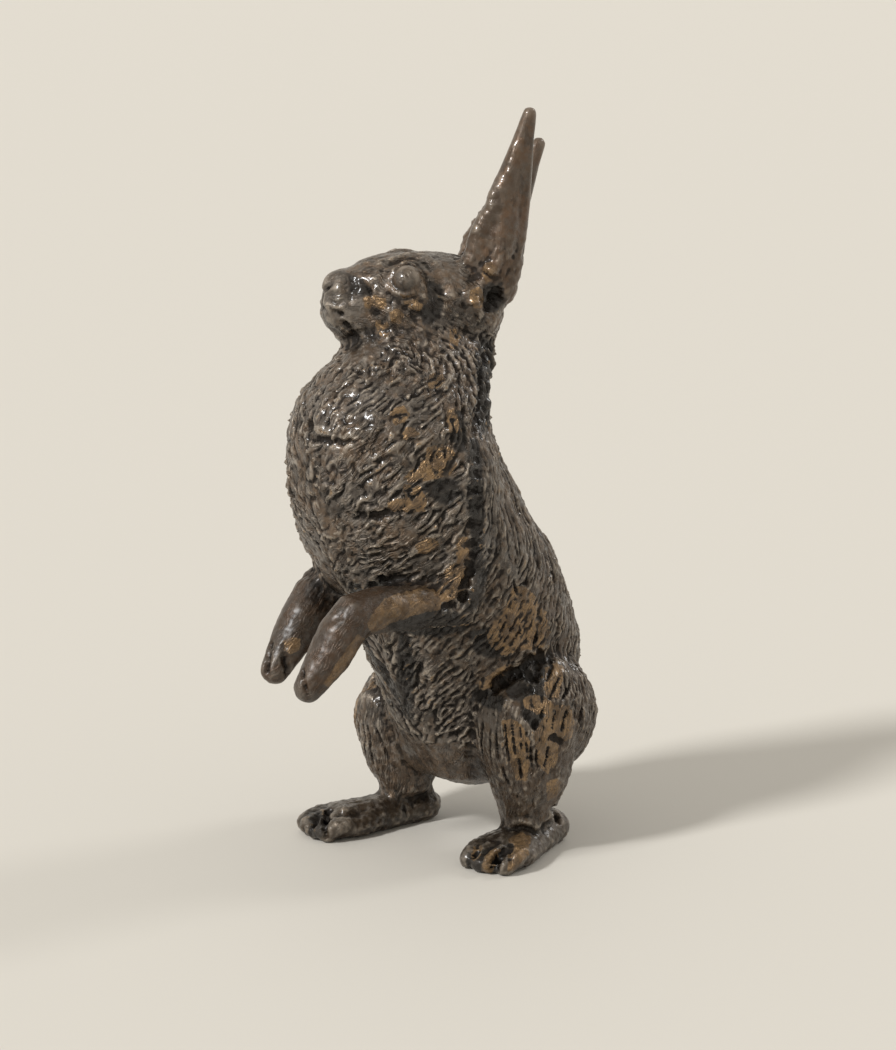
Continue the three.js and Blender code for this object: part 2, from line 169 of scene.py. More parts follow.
# The castings, which are numbered in this order
castings = [
    "torso", "head", "left_ear", "right_ear", "left_foreleg", "right_foreleg",
    "left_hind_leg", "right_hind_leg", "left_hind_foot", "right_hind_foot", "tail",
]

# The skin over them: how far it swells to close the joints, how near its points are welded, its two voxels,
# and the sides and rings of a mass laid on it
clay = {"swell": 0.22, "weld": 0.002, "roughVoxel": 0.3, "fineVoxel": 0.16}
massSides, massRings = 24, 14

# Rounds of smoothing that take the flats out of each casting
smoothing = {
    "torso": 60, "head": 30, "left_ear": 8, "right_ear": 8, "left_foreleg": 20, "right_foreleg": 20,
    "left_hind_leg": 50, "right_hind_leg": 50, "left_hind_foot": 3, "right_hind_foot": 3, "tail": 20,
}
relaxSteps = (0.5, -0.52)   # inwards, then slightly more outwards

# Rounds of blurring, for each thing that is blurred
blur = {
    "smoothing": 6, "shelter": 6, "shares": 8, "normals": 4, "flow": 3, "coat": 6, "fineShelter": 3,
    "near": 5, "wide": 40, "level": 1, "owners": 6,
}

# Masses of clay laid on before the smoothing, with their half sizes across, fore and aft, and up
# On the head a middle is given as a head place, and on the body as x, y and z
# The ones with a pair are laid on both sides
headMasses = {
    "jowl": {"at": (0.8, 2.6, -4.8), "half": (2.8, 5.6, 3.6), "pair": True},
    "neckFill": {"at": (1.0, 0, -4.4), "half": (6.0, 6.3, 4.3), "pair": False},
    "cheek": {"at": (3.4, 2.7, -1.0), "half": (2.3, 3.4, 2.8), "pair": True},
    "muzzle": {"at": (7.9, 0, 1.2), "half": (2.2, 2.6, 2.6), "pair": False},
    "nose": {"at": (8.95, 0, 1.75), "half": (1.4, 1.85, 1.95), "pair": False},
    "lip": {"at": (9.0, 0, -1.7), "half": (1.1, 1.5, 1.2), "pair": False},
}
# On an ear it is a share of the way from root to tip, and how far ahead of there
earMasses = {
    "hollowFill": {"on": ("left_ear", "right_ear"), "share": 0.42, "ahead": 0, "half": (1.8, 1.35, 8.4)},
    "swell": {"on": ("left_ear",), "share": 0.26, "ahead": 0, "half": (2.5, 1.9, 5.5)},
    "frontEdge": {"on": ("left_ear",), "share": 0.2, "ahead": 1.9, "half": (1.5, 1.7, 5.0)},
}
bodyMasses = {
    "shoulder": {"at": (7.7, -2.6, 38.6), "half": (3.9, 5.0, 7.6), "pair": True},
    "elbow": {"at": (8.5, -3.0, 29.6), "half": (2.9, 2.9, 3.2), "pair": True},
    "groin": {"at": (-3.0, 4.6, 9.2), "half": (4.2, 3.0, 3.2), "pair": False},
}

# Creases filled up and rounded out, on both sides: middle and reach
creases = {
    "groin": {"at": (3.2, 3.4, 8.0), "reach": 6.0},
    "innerThigh": {"at": (6.0, 1.4, 12.5), "reach": 7.0},
    "ruffSide": {"at": (8.0, -2.7, 46.5), "reach": 5.5},
}
creaseFilling = {"rounds": 90, "core": 0.55, "normalsEvery": 6}


# A mesh being worked on: its points, normals and edges as arrays, in millimetres
class Work:
    def __init__(self, obj):
        self.obj = obj
        self.read()

    def read(self):
        mesh = self.obj.data
        flat = np.empty(len(mesh.vertices) * 3, np.float32)
        mesh.vertices.foreach_get("co", flat)
        self.points = flat.reshape(-1, 3).astype(float)
        ends = np.empty(len(mesh.edges) * 2, np.int32)
        mesh.edges.foreach_get("vertices", ends)
        self.edges = ends.reshape(-1, 2)
        self.links = np.bincount(ends, minlength=len(self.points)).astype(float)
        self.findNormals()

    def findNormals(self):
        mesh = self.obj.data
        mesh.vertices.foreach_set("co", self.points.astype(np.float32).ravel())
        mesh.update()
        flat = np.empty(len(mesh.vertices) * 3, np.float32)
        mesh.vertex_normals.foreach_get("vector", flat)
        self.normals = flat.reshape(-1, 3).astype(float)

    # The mean of each point's neighbours, of any values that the points carry
    def around(self, values):
        columns = values.reshape(len(values), -1)
        a, b = self.edges.T
        size = len(values)
        total = [np.bincount(a, c[b], size) + np.bincount(b, c[a], size) for c in columns.T]
        return (np.stack(total, 1) / self.links[:, None]).reshape(values.shape)

    # Smooths without shrinking: each inward step is undone by a slightly larger outward one
    def relax(self, rounds):
        for k in range(int(np.max(rounds))):
            share = np.clip(rounds - k, 0, 1)[:, None]
            for strength in relaxSteps:
                self.points += strength * share * (self.around(self.points) - self.points)
        self.findNormals()

    def blurred(self, values, rounds):
        for _ in range(rounds):
            values = 0.5 * values + 0.5 * self.around(values)
        return values

    def surface(self):
        corners = np.empty(len(self.obj.data.loops), np.int32)
        self.obj.data.loops.foreach_get("vertex_index", corners)
        return BVHTree.FromPolygons(self.points.tolist(), corners.reshape(-1, 4).tolist())

    def nearest(self):
        tree = KDTree(len(self.points))
        for k, point in enumerate(self.points.tolist()):
            tree.insert(point, k)
        tree.balance()
        return tree


def copyOf(name):
    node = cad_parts[name]
    copy = node.copy()
    copy.data = node.data.copy()
    copy.parent = None
    copy.hide_render = False
    bpy.context.scene.collection.objects.link(copy)
    return copy


def layMass(at, half, turn=(0, 0, 0)):
    bpy.ops.object.select_all(action='DESELECT')
    bpy.ops.mesh.primitive_uv_sphere_add(segments=massSides, ring_count=massRings, radius=1,
                                         location=at, rotation=turn)
    mass = bpy.context.object
    mass.scale = half
    bpy.ops.object.transform_apply()
    return mass


def layMasses():
    laid = []
    for mass in headMasses.values():
        ahead, left, rise = mass["at"]
        for side in (1, -1) if mass["pair"] else (1,):
            laid.append(layMass(onHead(ahead, side * left, rise), mass["half"], (0, 0, -headTurn)))
    for mass in bodyMasses.values():
        x, y, z = mass["at"]
        for side in (1, -1) if mass["pair"] else (1,):
            laid.append(layMass((side * x, y, z), mass["half"]))
    for name, (root, tip) in ears.items():
        axis = unit(tip - root)
        deep = unit(np.cross(axis, headLeft))
        turn = Matrix((np.cross(deep, axis), deep, axis)).transposed().to_euler()
        for mass in earMasses.values():
            if name in mass["on"]:
                place = root + (tip - root) * mass["share"] + headForward * mass["ahead"]
                laid.append(layMass(place, mass["half"], turn))
    return laid


# One closed skin over all the castings, as they look once soldered and filed
def joinCastings():
    copies = [copyOf(name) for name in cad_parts]
    bpy.ops.object.select_all(action='DESELECT')
    for copy in copies:
        copy.select_set(True)
    bpy.context.view_layer.objects.active = copies[0]
    bpy.ops.object.join()
    skin = bpy.context.view_layer.objects.active
    skin.name = "clay"
    skin.data.transform(Matrix.Scale(1 / mm, 4))
    bpy.ops.object.mode_set(mode='EDIT')
    bpy.ops.mesh.select_all(action='SELECT')
    bpy.ops.mesh.remove_doubles(threshold=clay["weld"])
    bpy.ops.object.mode_set(mode='OBJECT')
    applied(skin, 'DISPLACE', strength=clay["swell"], mid_level=0)
    masses = layMasses()
    bpy.ops.object.select_all(action='DESELECT')
    for mass in masses:
        mass.select_set(True)
    skin.select_set(True)
    bpy.context.view_layer.objects.active = skin
    bpy.ops.object.join()
    applied(skin, 'REMESH', mode='VOXEL', voxel_size=clay["roughVoxel"])
    bpy.ops.object.mode_set(mode='EDIT')
    bpy.ops.mesh.separate(type='LOOSE')
    bpy.ops.object.mode_set(mode='OBJECT')
    loose = sorted(bpy.context.selected_objects, key=lambda o: -len(o.data.vertices))
    for crumb in loose[1:]:
        bpy.data.objects.remove(crumb)
    applied(loose[0], 'DISPLACE', strength=-clay["swell"], mid_level=0)
    return loose[0]


# The castings' own faces, to ask which casting a place belongs to
def castingOf(points):
    corners, faces, owner = [], [], []
    for number, name in enumerate(castings):
        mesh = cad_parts[name].data
        offset = len(corners)
        corners += [tuple(v.co / mm) for v in mesh.vertices]
        faces += [[offset + k for k in p.vertices] for p in mesh.polygons]
        owner += [number] * len(mesh.polygons)
    tree = BVHTree.FromPolygons(corners, faces)
    return np.array([owner[tree.find_nearest(p)[2]] for p in points.tolist()])


skin = joinCastings()
report(f"castings joined: {len(skin.data.vertices)} points")

rough = Work(skin)
roughOwner = castingOf(rough.points)
rounds = np.array([smoothing[name] for name in castings], float)[roughOwner]
rough.relax(rough.blurred(rounds, blur["smoothing"]))
report("flats smoothed")


# Moves the points of a hollow outwards until it is a soft fillet
def fillCreases(work):
    near = np.zeros(len(work.points))
    for crease in creases.values():
        core = creaseFilling["core"] * crease["reach"]
        for side in (1, -1):
            gap = np.linalg.norm(work.points - np.array(crease["at"]) * (side, 1, 1), axis=1)
            near = np.maximum(near, ease(crease["reach"], core, gap))
    for k in range(creaseFilling["rounds"]):
        outward = np.maximum(((work.around(work.points) - work.points) * work.normals).sum(1), 0)
        work.points += work.normals * (outward * near)[:, None]
        if (k + 1) % creaseFilling["normalsEvery"] == 0:
            work.findNormals()


fillCreases(rough)
report("creases filled")


# Rays that look for shelter: how many, how far they reach, how far off the surface they start,
# and which shares of them count as none and all
shelter = {"rays": 9, "reach": 7, "lift": 0.4, "share": (0.2, 0.62)}


# How much of what is round each point hides it from the sky: an occlusion that is painted into the colour
# as shade in the creases
def sheltered(work):
    tree = work.surface()
    ways = unit(np.random.default_rng(randomSeeds["rays"]).normal(size=(shelter["rays"], 3)))
    hidden = np.zeros(len(work.points))
    starts = work.points + work.normals * shelter["lift"]
    for way in ways:
        sides = np.where(work.normals @ way < 0, -1, 1)[:, None] * way
        hits = [tree.ray_cast(a, b, shelter["reach"])[0] is not None
                for a, b in zip(starts.tolist(), sides.tolist())]
        hidden += np.array(hits) / shelter["rays"]
    return ease(*shelter["share"], work.blurred(hidden, blur["shelter"]))


roughShelter = sheltered(rough)
report("creases found")

applied(skin, 'REMESH', mode='VOXEL', voxel_size=clay["fineVoxel"])
work = Work(skin)
report(f"fine skin: {len(work.points)} points")

# The eyeball: its pixel, its radius, and how deep under the surface its middle lies, in millimetres
eyeBall = {"pixel": (404.5, 280), "radius": 1.6, "inset": 1.42}

# How the far side of the body lies against the near one, in millimetres
farShifts = {"body": (0, 0, 0), "elbow": (0, 0, -0.5), "haunch": (0, 0, -3.3), "heel": (0, -4.4, 0)}

# Modelling tools: strokes traced on the photograph, in the order they are made
# Each has the tool's radius and how high it leaves the surface, both in millimetres, and the pixels of
# its path, and each group says how the far side gets the same strokes
tools = [
    ("head", {
        "eyeSocket": (1.7, -0.15, [(393, 278), (405, 279), (417, 279)]),
        "upperLid": (0.6, 0.42, [
            (391, 277), (396, 269), (405, 265), (414, 267), (420, 273), (422, 281), (421, 289)]),
        "lowerLid": (0.55, 0.34, [(389, 283), (395, 291), (404, 295), (414, 293), (421, 287)]),
        "brow": (0.6, 0.36, [
            (378, 264), (388, 260), (399, 256.5), (412, 254.5), (426, 256.5), (438, 264)]),
        "browHollow": (0.45, -0.24, [
            (381, 270), (388, 264.5), (399, 260), (413, 258.5), (424, 262), (431, 269)]),
        "tearLine": (0.5, -0.2, [(390, 282), (382, 285), (372, 286)]),
        "templeHollow": (1.4, -0.45, [(433, 272), (438, 286), (436, 304)]),
        "underEyeBead": (0.7, 0.35, [(415, 306), (424, 309)]),
        "nostril": (0.35, -0.28, [(326, 300), (332, 303), (339, 304), (344, 301)]),
        "nosePad": (0.7, -0.3, [(346, 281), (349, 290), (348, 299)]),
        "mouth": (0.4, -0.25, [(321, 307), (327, 308.5), (333, 310)]),
        "mouthPit": (0.5, -0.5, [(334, 312), (340, 315)]),
        "mouthCorner": (0.5, -0.45, [(343, 322), (347, 326), (351, 331)]),
        "noseSide": (0.6, -0.35, [(351, 278), (354, 286), (352, 294)]),
        "cheekPits": (0.5, -0.3, [(362, 282), (368, 288), (372, 296)]),
        "upperLip": (0.6, 0.15, [(340, 307), (347, 311), (352, 318)]),
        "lowerLip": (0.8, 0.12, [(324, 314), (330, 319), (337, 326)]),
        "throatFold": (0.8, 0.2, [(358, 322), (363, 334), (365, 348)]),
        "throatHollow": (0.8, -0.15, [(352, 330), (356, 342), (358, 352)]),
        "cheekBone": (1.3, 0.55, [(388, 308), (396, 315), (403, 321)]),
        "cheekHollow": (0.8, -0.3, [(372, 312), (382, 320), (386, 332)]),
        "cheekLump": (1.0, 0.3, [(377, 322), (384, 329), (389, 336)]),
        "jawCurl": (0.5, 0.35, [(387, 343), (391, 350), (399, 350), (401, 343)]),
        "earKnob": (1.2, 0.75, [(477, 288), (474, 296), (475, 305), (479, 311)]),
        "knobSide": (0.8, 0.35, [(468, 292), (467, 300)]),
        "knobHollow": (0.8, -0.3, [(463, 296), (467, 307), (477, 313), (487, 309)]),
    }),
    ("ear", {
        "earRidge": (0.8, 0.2, [(514, 146), (509, 172), (504, 203), (498, 232)]),
        "earFrontEdge": (1.2, 0.4, [(499, 180), (491, 203), (483, 223), (474, 243)]),
        "earLobe": (1.0, 0.6, [(499, 256), (493, 266), (485, 276), (480, 284)]),
    }),
    (None, {
        "farEarFront": (1.8, -0.9, [(470, 222), (466, 235), (463, 246)]),
    }),
    ("ear", {
        "earOpening": (1.1, -0.8, [(497, 284), (496, 294), (491, 305)]),
    }),
    (None, {
        "chestCleft": (0.7, -0.45, [(286, 422), (293, 422), (303, 425), (313, 430)]),
        "ruffLedge": (0.55, -0.32, [(309, 438), (324, 440), (338, 441), (353, 442), (364, 441)]),
        "ruffLedgeTop": (1.1, 0.28, [(309, 432), (324, 433), (338, 434), (353, 435), (364, 434)]),
        "lowLedge": (0.5, -0.2, [(301, 499), (309, 496), (316, 498), (323, 494), (330, 495)]),
        "lowLedgeTop": (1.1, 0.25, [(301, 492), (316, 490), (330, 488)]),
    }),
    ("body", {
        "armLedge": (0.6, -0.32, [
            (356, 517), (366, 514), (378, 517), (388, 513), (397, 515), (405, 509), (411, 512)]),
        "armLedgeTop": (1.1, 0.3, [(361, 506), (378, 505), (396, 503), (414, 503)]),
    }),
    ("elbow", {
        "elbowFold": (0.7, -0.4, [(372, 586), (384, 580), (398, 578)]),
        "armCrease": (0.8, -0.6, [(471, 556), (470, 575), (466, 592), (460, 602), (448, 607)]),
    }),
    ("body", {
        "shoulderBack": (1.5, -0.4, [(478, 455), (477, 490), (474, 525), (471, 556)]),
        "napeHollow": (0.7, -0.5, [(488, 345), (483, 372), (482, 400), (476, 430)]),
        "napeRidge": (0.8, 0.4, [(494, 350), (489, 378), (487, 405), (490, 430)]),
    }),
    ("haunch", {
        "haunchCrease": (1.1, -0.5, [
            (559, 651), (549, 658), (535, 659), (524, 669), (508, 675), (495, 688), (478, 694)]),
        "haunchCreaseLow": (1.0, -0.45, [(544, 668), (534, 676), (526, 688), (514, 694)]),
        "flankLedge": (0.9, 0.6, [
            (552, 643), (540, 652), (528, 652), (516, 663), (503, 666), (494, 679), (480, 686)]),
        "thighFront": (0.8, -0.2, [(478, 694), (472, 715), (470, 740), (472, 765), (476, 780)]),
        "kneeKnob": (1.0, 0.45, [(500, 708), (507, 702)]),
        "haunchPit": (0.7, -0.5, [(525, 716), (534, 723), (541, 730)]),
        "haunchDent": (0.7, -0.45, [(551, 738), (559, 739), (566, 742)]),
    }),
    ("heel", {
        "heelHollow": (0.6, -0.9, [(553, 808), (555, 814), (557, 820)]),
    }),
    (None, {
        "nearToeGroove": (0.65, -0.85, [(478, 848), (474, 859), (469, 871)]),
        "toeRidge": (0.6, 0.35, [(501, 846), (491, 854), (484, 866), (481, 874)]),
        "wideToeGroove": (0.8, -1.1, [(504, 850), (498, 860), (492, 873)]),
        "outerToeGroove": (0.5, -0.45, [(511, 844), (510, 857), (507, 870)]),
        "outerToe": (1.2, 0.3, [(520, 845), (519, 857), (514, 868)]),
        "instepFold": (0.7, 0.35, [(508, 822), (520, 820), (532, 822), (540, 829)]),
        "ankleFold": (0.5, -0.3, [(510, 829), (522, 827), (534, 832)]),
        "farToeGroove": (0.6, -0.75, [(318, 812), (314, 822), (311, 834)]),
        "farToeGrooveTwo": (0.6, -0.8, [(330, 811), (326, 822), (325, 837)]),
        "farFirstToe": (1.1, 0.35, [(308, 816), (306, 826)]),
        "farOuterToe": (1.2, 0.5, [(332, 829), (341, 826), (350, 823)]),
        "farToeTop": (1.1, 0.4, [(337, 812), (347, 808)]),
        "farFootDent": (0.9, -0.4, [(352, 815), (360, 812), (366, 806)]),
        "farInstep": (1.3, 0.5, [(370, 806), (379, 801), (388, 799)]),
        "farHeelDent": (1.2, -0.4, [(398, 812), (410, 808), (419, 802)]),
        "pawGroove": (0.34, -0.4, [(303, 667), (304, 680), (307, 694)]),
        "wristFold": (0.6, -0.15, [(331, 622), (340, 616), (350, 613)]),
        "farPawGroove": (0.6, -0.65, [(270, 645), (267, 660), (266, 678)]),
        "farPawGrooveTwo": (0.6, -0.65, [(285, 647), (286, 662), (287, 677)]),
        "farKnuckle": (1.3, 0.35, [(264, 636), (272, 630)]),
    }),
]
toolStep = 0.25

# Strokes on the front of the muzzle, which the photograph doesn't show, as head places
muzzleTools = {
    "philtrum": (0.4, -0.28, [(11, 0, 1.2), (11, 0, 0.3), (10.8, 0, -0.6)]),
    "nostril": (0.4, -0.4, [(11, 0.4, 1.5), (10.7, 0.9, 1.9), (10.2, 1.3, 2.3)]),
    "lipPad": (0.8, 0.3, [(10.6, 0.8, 0.4), (10.2, 1.3, 0.1), (9.4, 1.9, 0.0)]),
    "noseWing": (0.5, -0.3, [(10.4, 1.2, 1.4), (9.6, 1.8, 1.3), (8.8, 2.2, 1.4)]),
}

# A stroke wanders off its path, is thinner at its ends and uneven along it
strokeShape = {
    "wander": 0.22, "wanderLength": 1.7,
    "ends": 0.45, "middle": 0.55, "shortest": 4,
    "level": 0.85, "uneven": 0.5, "unevenLength": 1.2,
}


# The same place on the other side of the head, of the other ear, or of the body
def mirrored(points, how):
    if how == "ear":
        rootLeft, tipLeft = ears["left_ear"]
        rootRight, tipRight = ears["right_ear"]
        axis = tipLeft - rootLeft
        share = (points - rootLeft) @ axis / (axis @ axis)
        beside = points - rootLeft - share[:, None] * axis
        beside -= 2 * np.outer(beside @ headLeft, headLeft)
        return rootRight + share[:, None] * (tipRight - rootRight) + beside
    if how == "head":
        return points - 2 * np.outer((points - headMiddle) @ headLeft, headLeft)
    return points * (-1, 1, 1) + np.array(farShifts[how])


# Points a tool's step apart on a surface, through the corners of a path
def walked(tree, corners):
    places = []
    for a, b in zip(corners, corners[1:]):
        steps = max(1, int(np.linalg.norm(b - a) / toolStep))
        for k in range(steps):
            places.append(tree.find_nearest(a + (b - a) * k / steps)[0])
    places.append(tree.find_nearest(corners[-1])[0])
    return np.array(places)


def seen(tree, pixel):
    hit = tree.ray_cast(eyePoint, sightTo(pixel))[0]
    return None if hit is None else np.array(hit)


# How far each point is from a path, and how far along it the nearest place is, from 0 to 1
def besidePath(points, path):
    gap = np.full(len(points), np.inf)
    share = np.zeros(len(points))
    for k, place in enumerate(path):
        found = np.linalg.norm(points - place, axis=1)
        nearer = found < gap
        gap[nearer] = found[nearer]
        share[nearer] = k / max(1, len(path) - 1)
    return gap, share


# One stroke of a modelling tool, tapered at both ends
def stroke(work, path, radius, height):
    shape = strokeShape
    wander = np.stack([ripple(path, shape["wanderLength"], seed) for seed in randomSeeds["wander"]], 1)
    path = path + shape["wander"] * min(1, radius) * wander
    low, high = path.min(0) - radius, path.max(0) + radius
    near = np.flatnonzero(((work.points > low) & (work.points < high)).all(1))
    gap, share = besidePath(work.points[near], path)
    taper = 1
    if len(path) >= shape["shortest"]:
        taper = shape["ends"] + shape["middle"] * np.sin(math.pi * share)
    ragged = shape["level"] + shape["uneven"] * ripple(path, shape["unevenLength"], randomSeeds["uneven"])
    taper = taper * ragged[np.rint(share * (len(path) - 1)).astype(int)]
    dome = np.clip(1 - (gap / radius) ** 2, 0, 1) ** 2
    work.points[near] += work.normals[near] * (dome * taper * height)[:, None]


def pushBall(work, middle, radius):
    away = work.points - middle
    inside = np.linalg.norm(away, axis=1) < radius
    work.points[inside] = middle + unit(away[inside]) * radius


def useTools(work):
    tree = work.surface()
    for radius, height, places in muzzleTools.values():
        for side in (1, -1):
            corners = [onHead(ahead, side * left, rise) for ahead, left, rise in places]
            path = walked(tree, [np.array(tree.find_nearest(corner)[0]) for corner in corners])
            stroke(work, path, radius, height)
    for other, strokes in tools:
        for name, (radius, height, pixels) in strokes.items():
            corners = [seen(tree, pixel) for pixel in pixels]
            corners = [corner for corner in corners if corner is not None]
            if len(corners) < 2:
                print("no surface under", name)
                continue
            stroke(work, walked(tree, corners), radius, height)
            if other is not None:
                far = [np.array(tree.find_nearest(p)[0]) for p in mirrored(np.array(corners), other)]
                stroke(work, walked(tree, far), radius, height)
    work.findNormals()
    place, normal = tree.ray_cast(eyePoint, sightTo(eyeBall["pixel"]))[:2]
    middle = np.array(place - normal * eyeBall["inset"])
    pushBall(work, middle, eyeBall["radius"])
    pushBall(work, mirrored(middle[None], "head")[0], eyeBall["radius"])
    work.findNormals()


useTools(work)
report("features modelled")

# The coat, chased into the bronze after casting
# For each kind of fur: how far apart its locks lie, how long, high and wavy they are,
# how narrow their crests are from 0 to 1, how far the larger tufts stand out, and how lumpy the skin is
# Lengths and heights are in millimetres
coatKeys = ("apart", "length", "height", "wave", "crest", "tuft", "lumps")
coats = {
    "breast": (0.65, 1.3, 0.17, 1.0, 0.35, 0.3, 0.03),
    "chest": (0.64, 2.5, 0.27, 0.45, 0.65, 0.42, 0.03),
    "neck": (0.78, 1.4, 0.26, 0.7, 0.45, 0.5, 0.1),
    "back": (0.52, 4.4, 0.25, 0.12, 0.6, 0.24, 0.02),
    "flank": (0.85, 2.8, 0.34, 0.25, 0.1, 0.35, 0.03),
    "belly": (0.62, 2.0, 0.27, 0.25, 0.9, 0.35, 0.05),
    "groin": (0.6, 1.6, 0.03, 0.3, 0.5, 0.04, 0.03),
    "haunch": (0.6, 3.6, 0.28, 0.12, 0.5, 0.25, 0.03),
    "thigh": (0.52, 2.8, 0.14, 0.15, 0.5, 0.08, 0.02),
    "shank": (0.5, 1.6, 0.09, 0.4, 0.5, 0.1, 0.04),
    "foot": (0.8, 1.4, 0.07, 0.9, 0.3, 0.1, 0.05),
    "head": (0.65, 0.9, 0.1, 0.9, 0.4, 0.25, 0.06),
    "muzzle": (0.5, 0.9, 0.05, 0.8, 0.4, 0.1, 0.03),
    "earFoot": (0.6, 1.6, 0.12, 0.5, 0.5, 0.2, 0.06),
    "earTop": (0.5, 1.5, 0.0, 0.4, 0.5, 0.0, 0.0),
    "arm": (0.7, 1.8, 0.16, 0.5, 0.4, 0.25, 0.03),
    "paw": (0.5, 1.2, 0.02, 0.5, 0.5, 0.03, 0.02),
}
tufts = {"apart": 2.1, "length": 4.2}

# Places left smooth: their pixel, how far they reach and how much of the fur stays
smoothSpots = {
    "eye": {"pixel": (405, 279), "reach": (1.6, 2.6), "keep": 0.0},
    "earKnob": {"pixel": (475, 299), "reach": (1.1, 1.7), "keep": 0.0},
    "nose": {"pixel": (336, 286), "reach": (2.4, 4.0), "keep": 0.0},
    "throat": {"pixel": (362, 350), "reach": (1.5, 3.5), "keep": 0.3},
    "crown": {"pixel": (445, 275), "reach": (1.0, 3.0), "keep": 0.35},
    "underHaunch": {"pixel": (512, 690), "reach": (0.8, 2.2), "keep": 0.25},
}

headFloor = 51   # the height over which a smooth place is on the head

# The middle of the body from front to back, at each height
spineHeights = (0, 8.6, 12.5, 16.5, 21, 25.5, 30, 36.5, 43, 47, 50.8, 54)
spineMiddles = (7, 8.4, 8.8, 8.4, 7.3, 5.2, 2.1, -1.9, -4.1, -3.8, -1.0, 1.0)

# Where one kind of fur gives way to the next, from where it has none of a share to where it has all of it
coatBounds = {
    "behind": (-2.5, 1.5),      # back from the middle of the body
    "flankBack": (9, 6),
    "side": (5, 8),             # out from the middle
    "front": (4.2, 1.8),
    "high": (43, 48),           # up from the ground
    "low": (31, 27),
    "groin": (12.6, 10.4),
    "flankTop": (34, 29),
    "throat": (54.5, 51.5),
    "earTop": (60, 65),
    "haunch": (11, 14),
    "shank": (12, 8.5),
    "haunchBack": (1, 5),       # back from the middle between the soles
    "paw": (-8, -12.5),
    "muzzle": (4.5, 7.5),       # ahead of the middle of the skull
    "crown": (3.6, 4.8),        # above it
}


def past(bound, values):
    return ease(*coatBounds[bound], values)


# How much each kind of fur counts at each point
def coatShares(points, owner):
    x, y, z = points.T
    name = np.array(castings)[owner]
    torso, head = name == "torso", name == "head"
    bothEars = np.isin(name, ("left_ear", "right_ear"))
    arms = np.isin(name, ("left_foreleg", "right_foreleg"))
    legs = np.isin(name, ("left_hind_leg", "right_hind_leg"))
    feet = np.isin(name, ("left_hind_foot", "right_hind_foot"))
    back = y - np.interp(z, spineHeights, spineMiddles)
    ahead = (points - headMiddle) @ headForward
    behind = past("behind", back)
    high = past("high", z)
    low = past("low", z)
    front = past("front", np.abs(x))
    lowest = past("groin", z)
    flank = behind * past("flankTop", z) * past("flankBack", back) * past("side", np.abs(x))
    haunch = past("haunchBack", y) * past("haunch", z)
    shank = past("shank", z)
    throat = head * past("throat", z)
    smooth = np.maximum(past("muzzle", ahead), past("crown", z - headMiddle[2]))
    earTop = past("earTop", z)
    paw = past("paw", y)
    return {
        "neck": torso * high * behind + throat,
        "flank": torso * (1 - high) * flank,
        "back": (torso * (1 - high) * behind * (1 - flank)) + (name == "tail"),
        "belly": torso * (1 - behind) * low * (1 - lowest),
        "groin": torso * (1 - behind) * lowest,
        "breast": torso * (1 - behind) * (1 - low) * front,
        "chest": torso * (1 - behind) * (1 - low) * (1 - front),
        "haunch": legs * haunch,
        "shank": legs * (1 - haunch) * shank,
        "thigh": legs * (1 - haunch) * (1 - shank),
        "foot": 1.0 * feet,
        "muzzle": head * (1 - throat) * smooth,
        "head": head * (1 - throat) * (1 - smooth),
        "earTop": bothEars * earTop,
        "earFoot": bothEars * (1 - earTop),
        "paw": arms * paw,
        "arm": arms * (1 - paw),
    }


# Which way each kind of fur lies, before it is laid down on the surface
def furWays(points, shares):
    inward = np.sign(points[:, :1]) * (-1, 0, 0)
    ways = {
        "breast": (0, -0.8, -0.7) + 0.3 * inward,
        "chest": (0, -0.8, -0.65) + 0.35 * inward,
        "neck": (0, 0.15, -1),
        "back": (0, 0.1, -1),
        "flank": (0, -0.7, -1),
        "belly": (0, -0.65, -0.9) + 0.3 * inward,
        "groin": (0, -0.3, -1),
        "haunch": (0, -0.2, -1),
        "thigh": (0, -0.35, -1),
        "shank": (0, 0, -1),
        "foot": (0, -1, -0.3),
        "head": -headForward + (0, 0, -0.9),
        "muzzle": -headForward + (0, 0, -0.3),
        "earFoot": (0, 0.3, 1),
        "earTop": (0, 0.3, 1),
        "arm": (0, -1, -0.5),
        "paw": (0, -0.8, -0.6),
    }
    total = np.zeros_like(points)
    for name, share in shares.items():
        total += share[:, None] * np.array(ways[name])
    return total


def laidDown(ways, normals):
    return unit(ways - (ways * normals).sum(1)[:, None] * normals)


# How locks are sown and grown: how far apart they lie along the fur as a share of their length, how they
# bend, lean and sway, where on them their seed lies, and how they narrow to the tip
lockShape = {
    "cell": 1.6, "along": 0.62, "seedAt": 0.45, "leastSteps": 3,
    "length": (0.8, 1.25), "bend": 0.35, "lean": 0.22, "leastLean": 0.3, "sway": 0.45, "swayTurn": 3.2,
    "neighbours": 12, "reach": 0.6, "narrowing": 0.55, "alone": 0.6,
}
cellsAround = list(itertools.product((-1, 0, 1), repeat=3))


# Seeds no closer than the locks lie apart, and further apart along the fur than across it
def sowSeeds(points, ways, apart, length):
    taken = {}
    seeds = []
    for k in dice.permutation(len(points)).tolist():
        point, way, wide, long = points[k], ways[k], apart[k], length[k]
        cell = tuple(int(v // lockShape["cell"]) for v in point)
        near = []
        for i, j, h in cellsAround:
            near += taken.get((cell[0] + i, cell[1] + j, cell[2] + h), ())
        if near:
            gaps = points[near] - point
            along = gaps @ way
            across = (gaps * gaps).sum(1) - along * along
            if (across / wide ** 2 + along * along / (lockShape["along"] * long) ** 2).min() < 1:
                continue
        taken.setdefault(cell, []).append(k)
        seeds.append(k)
    return seeds


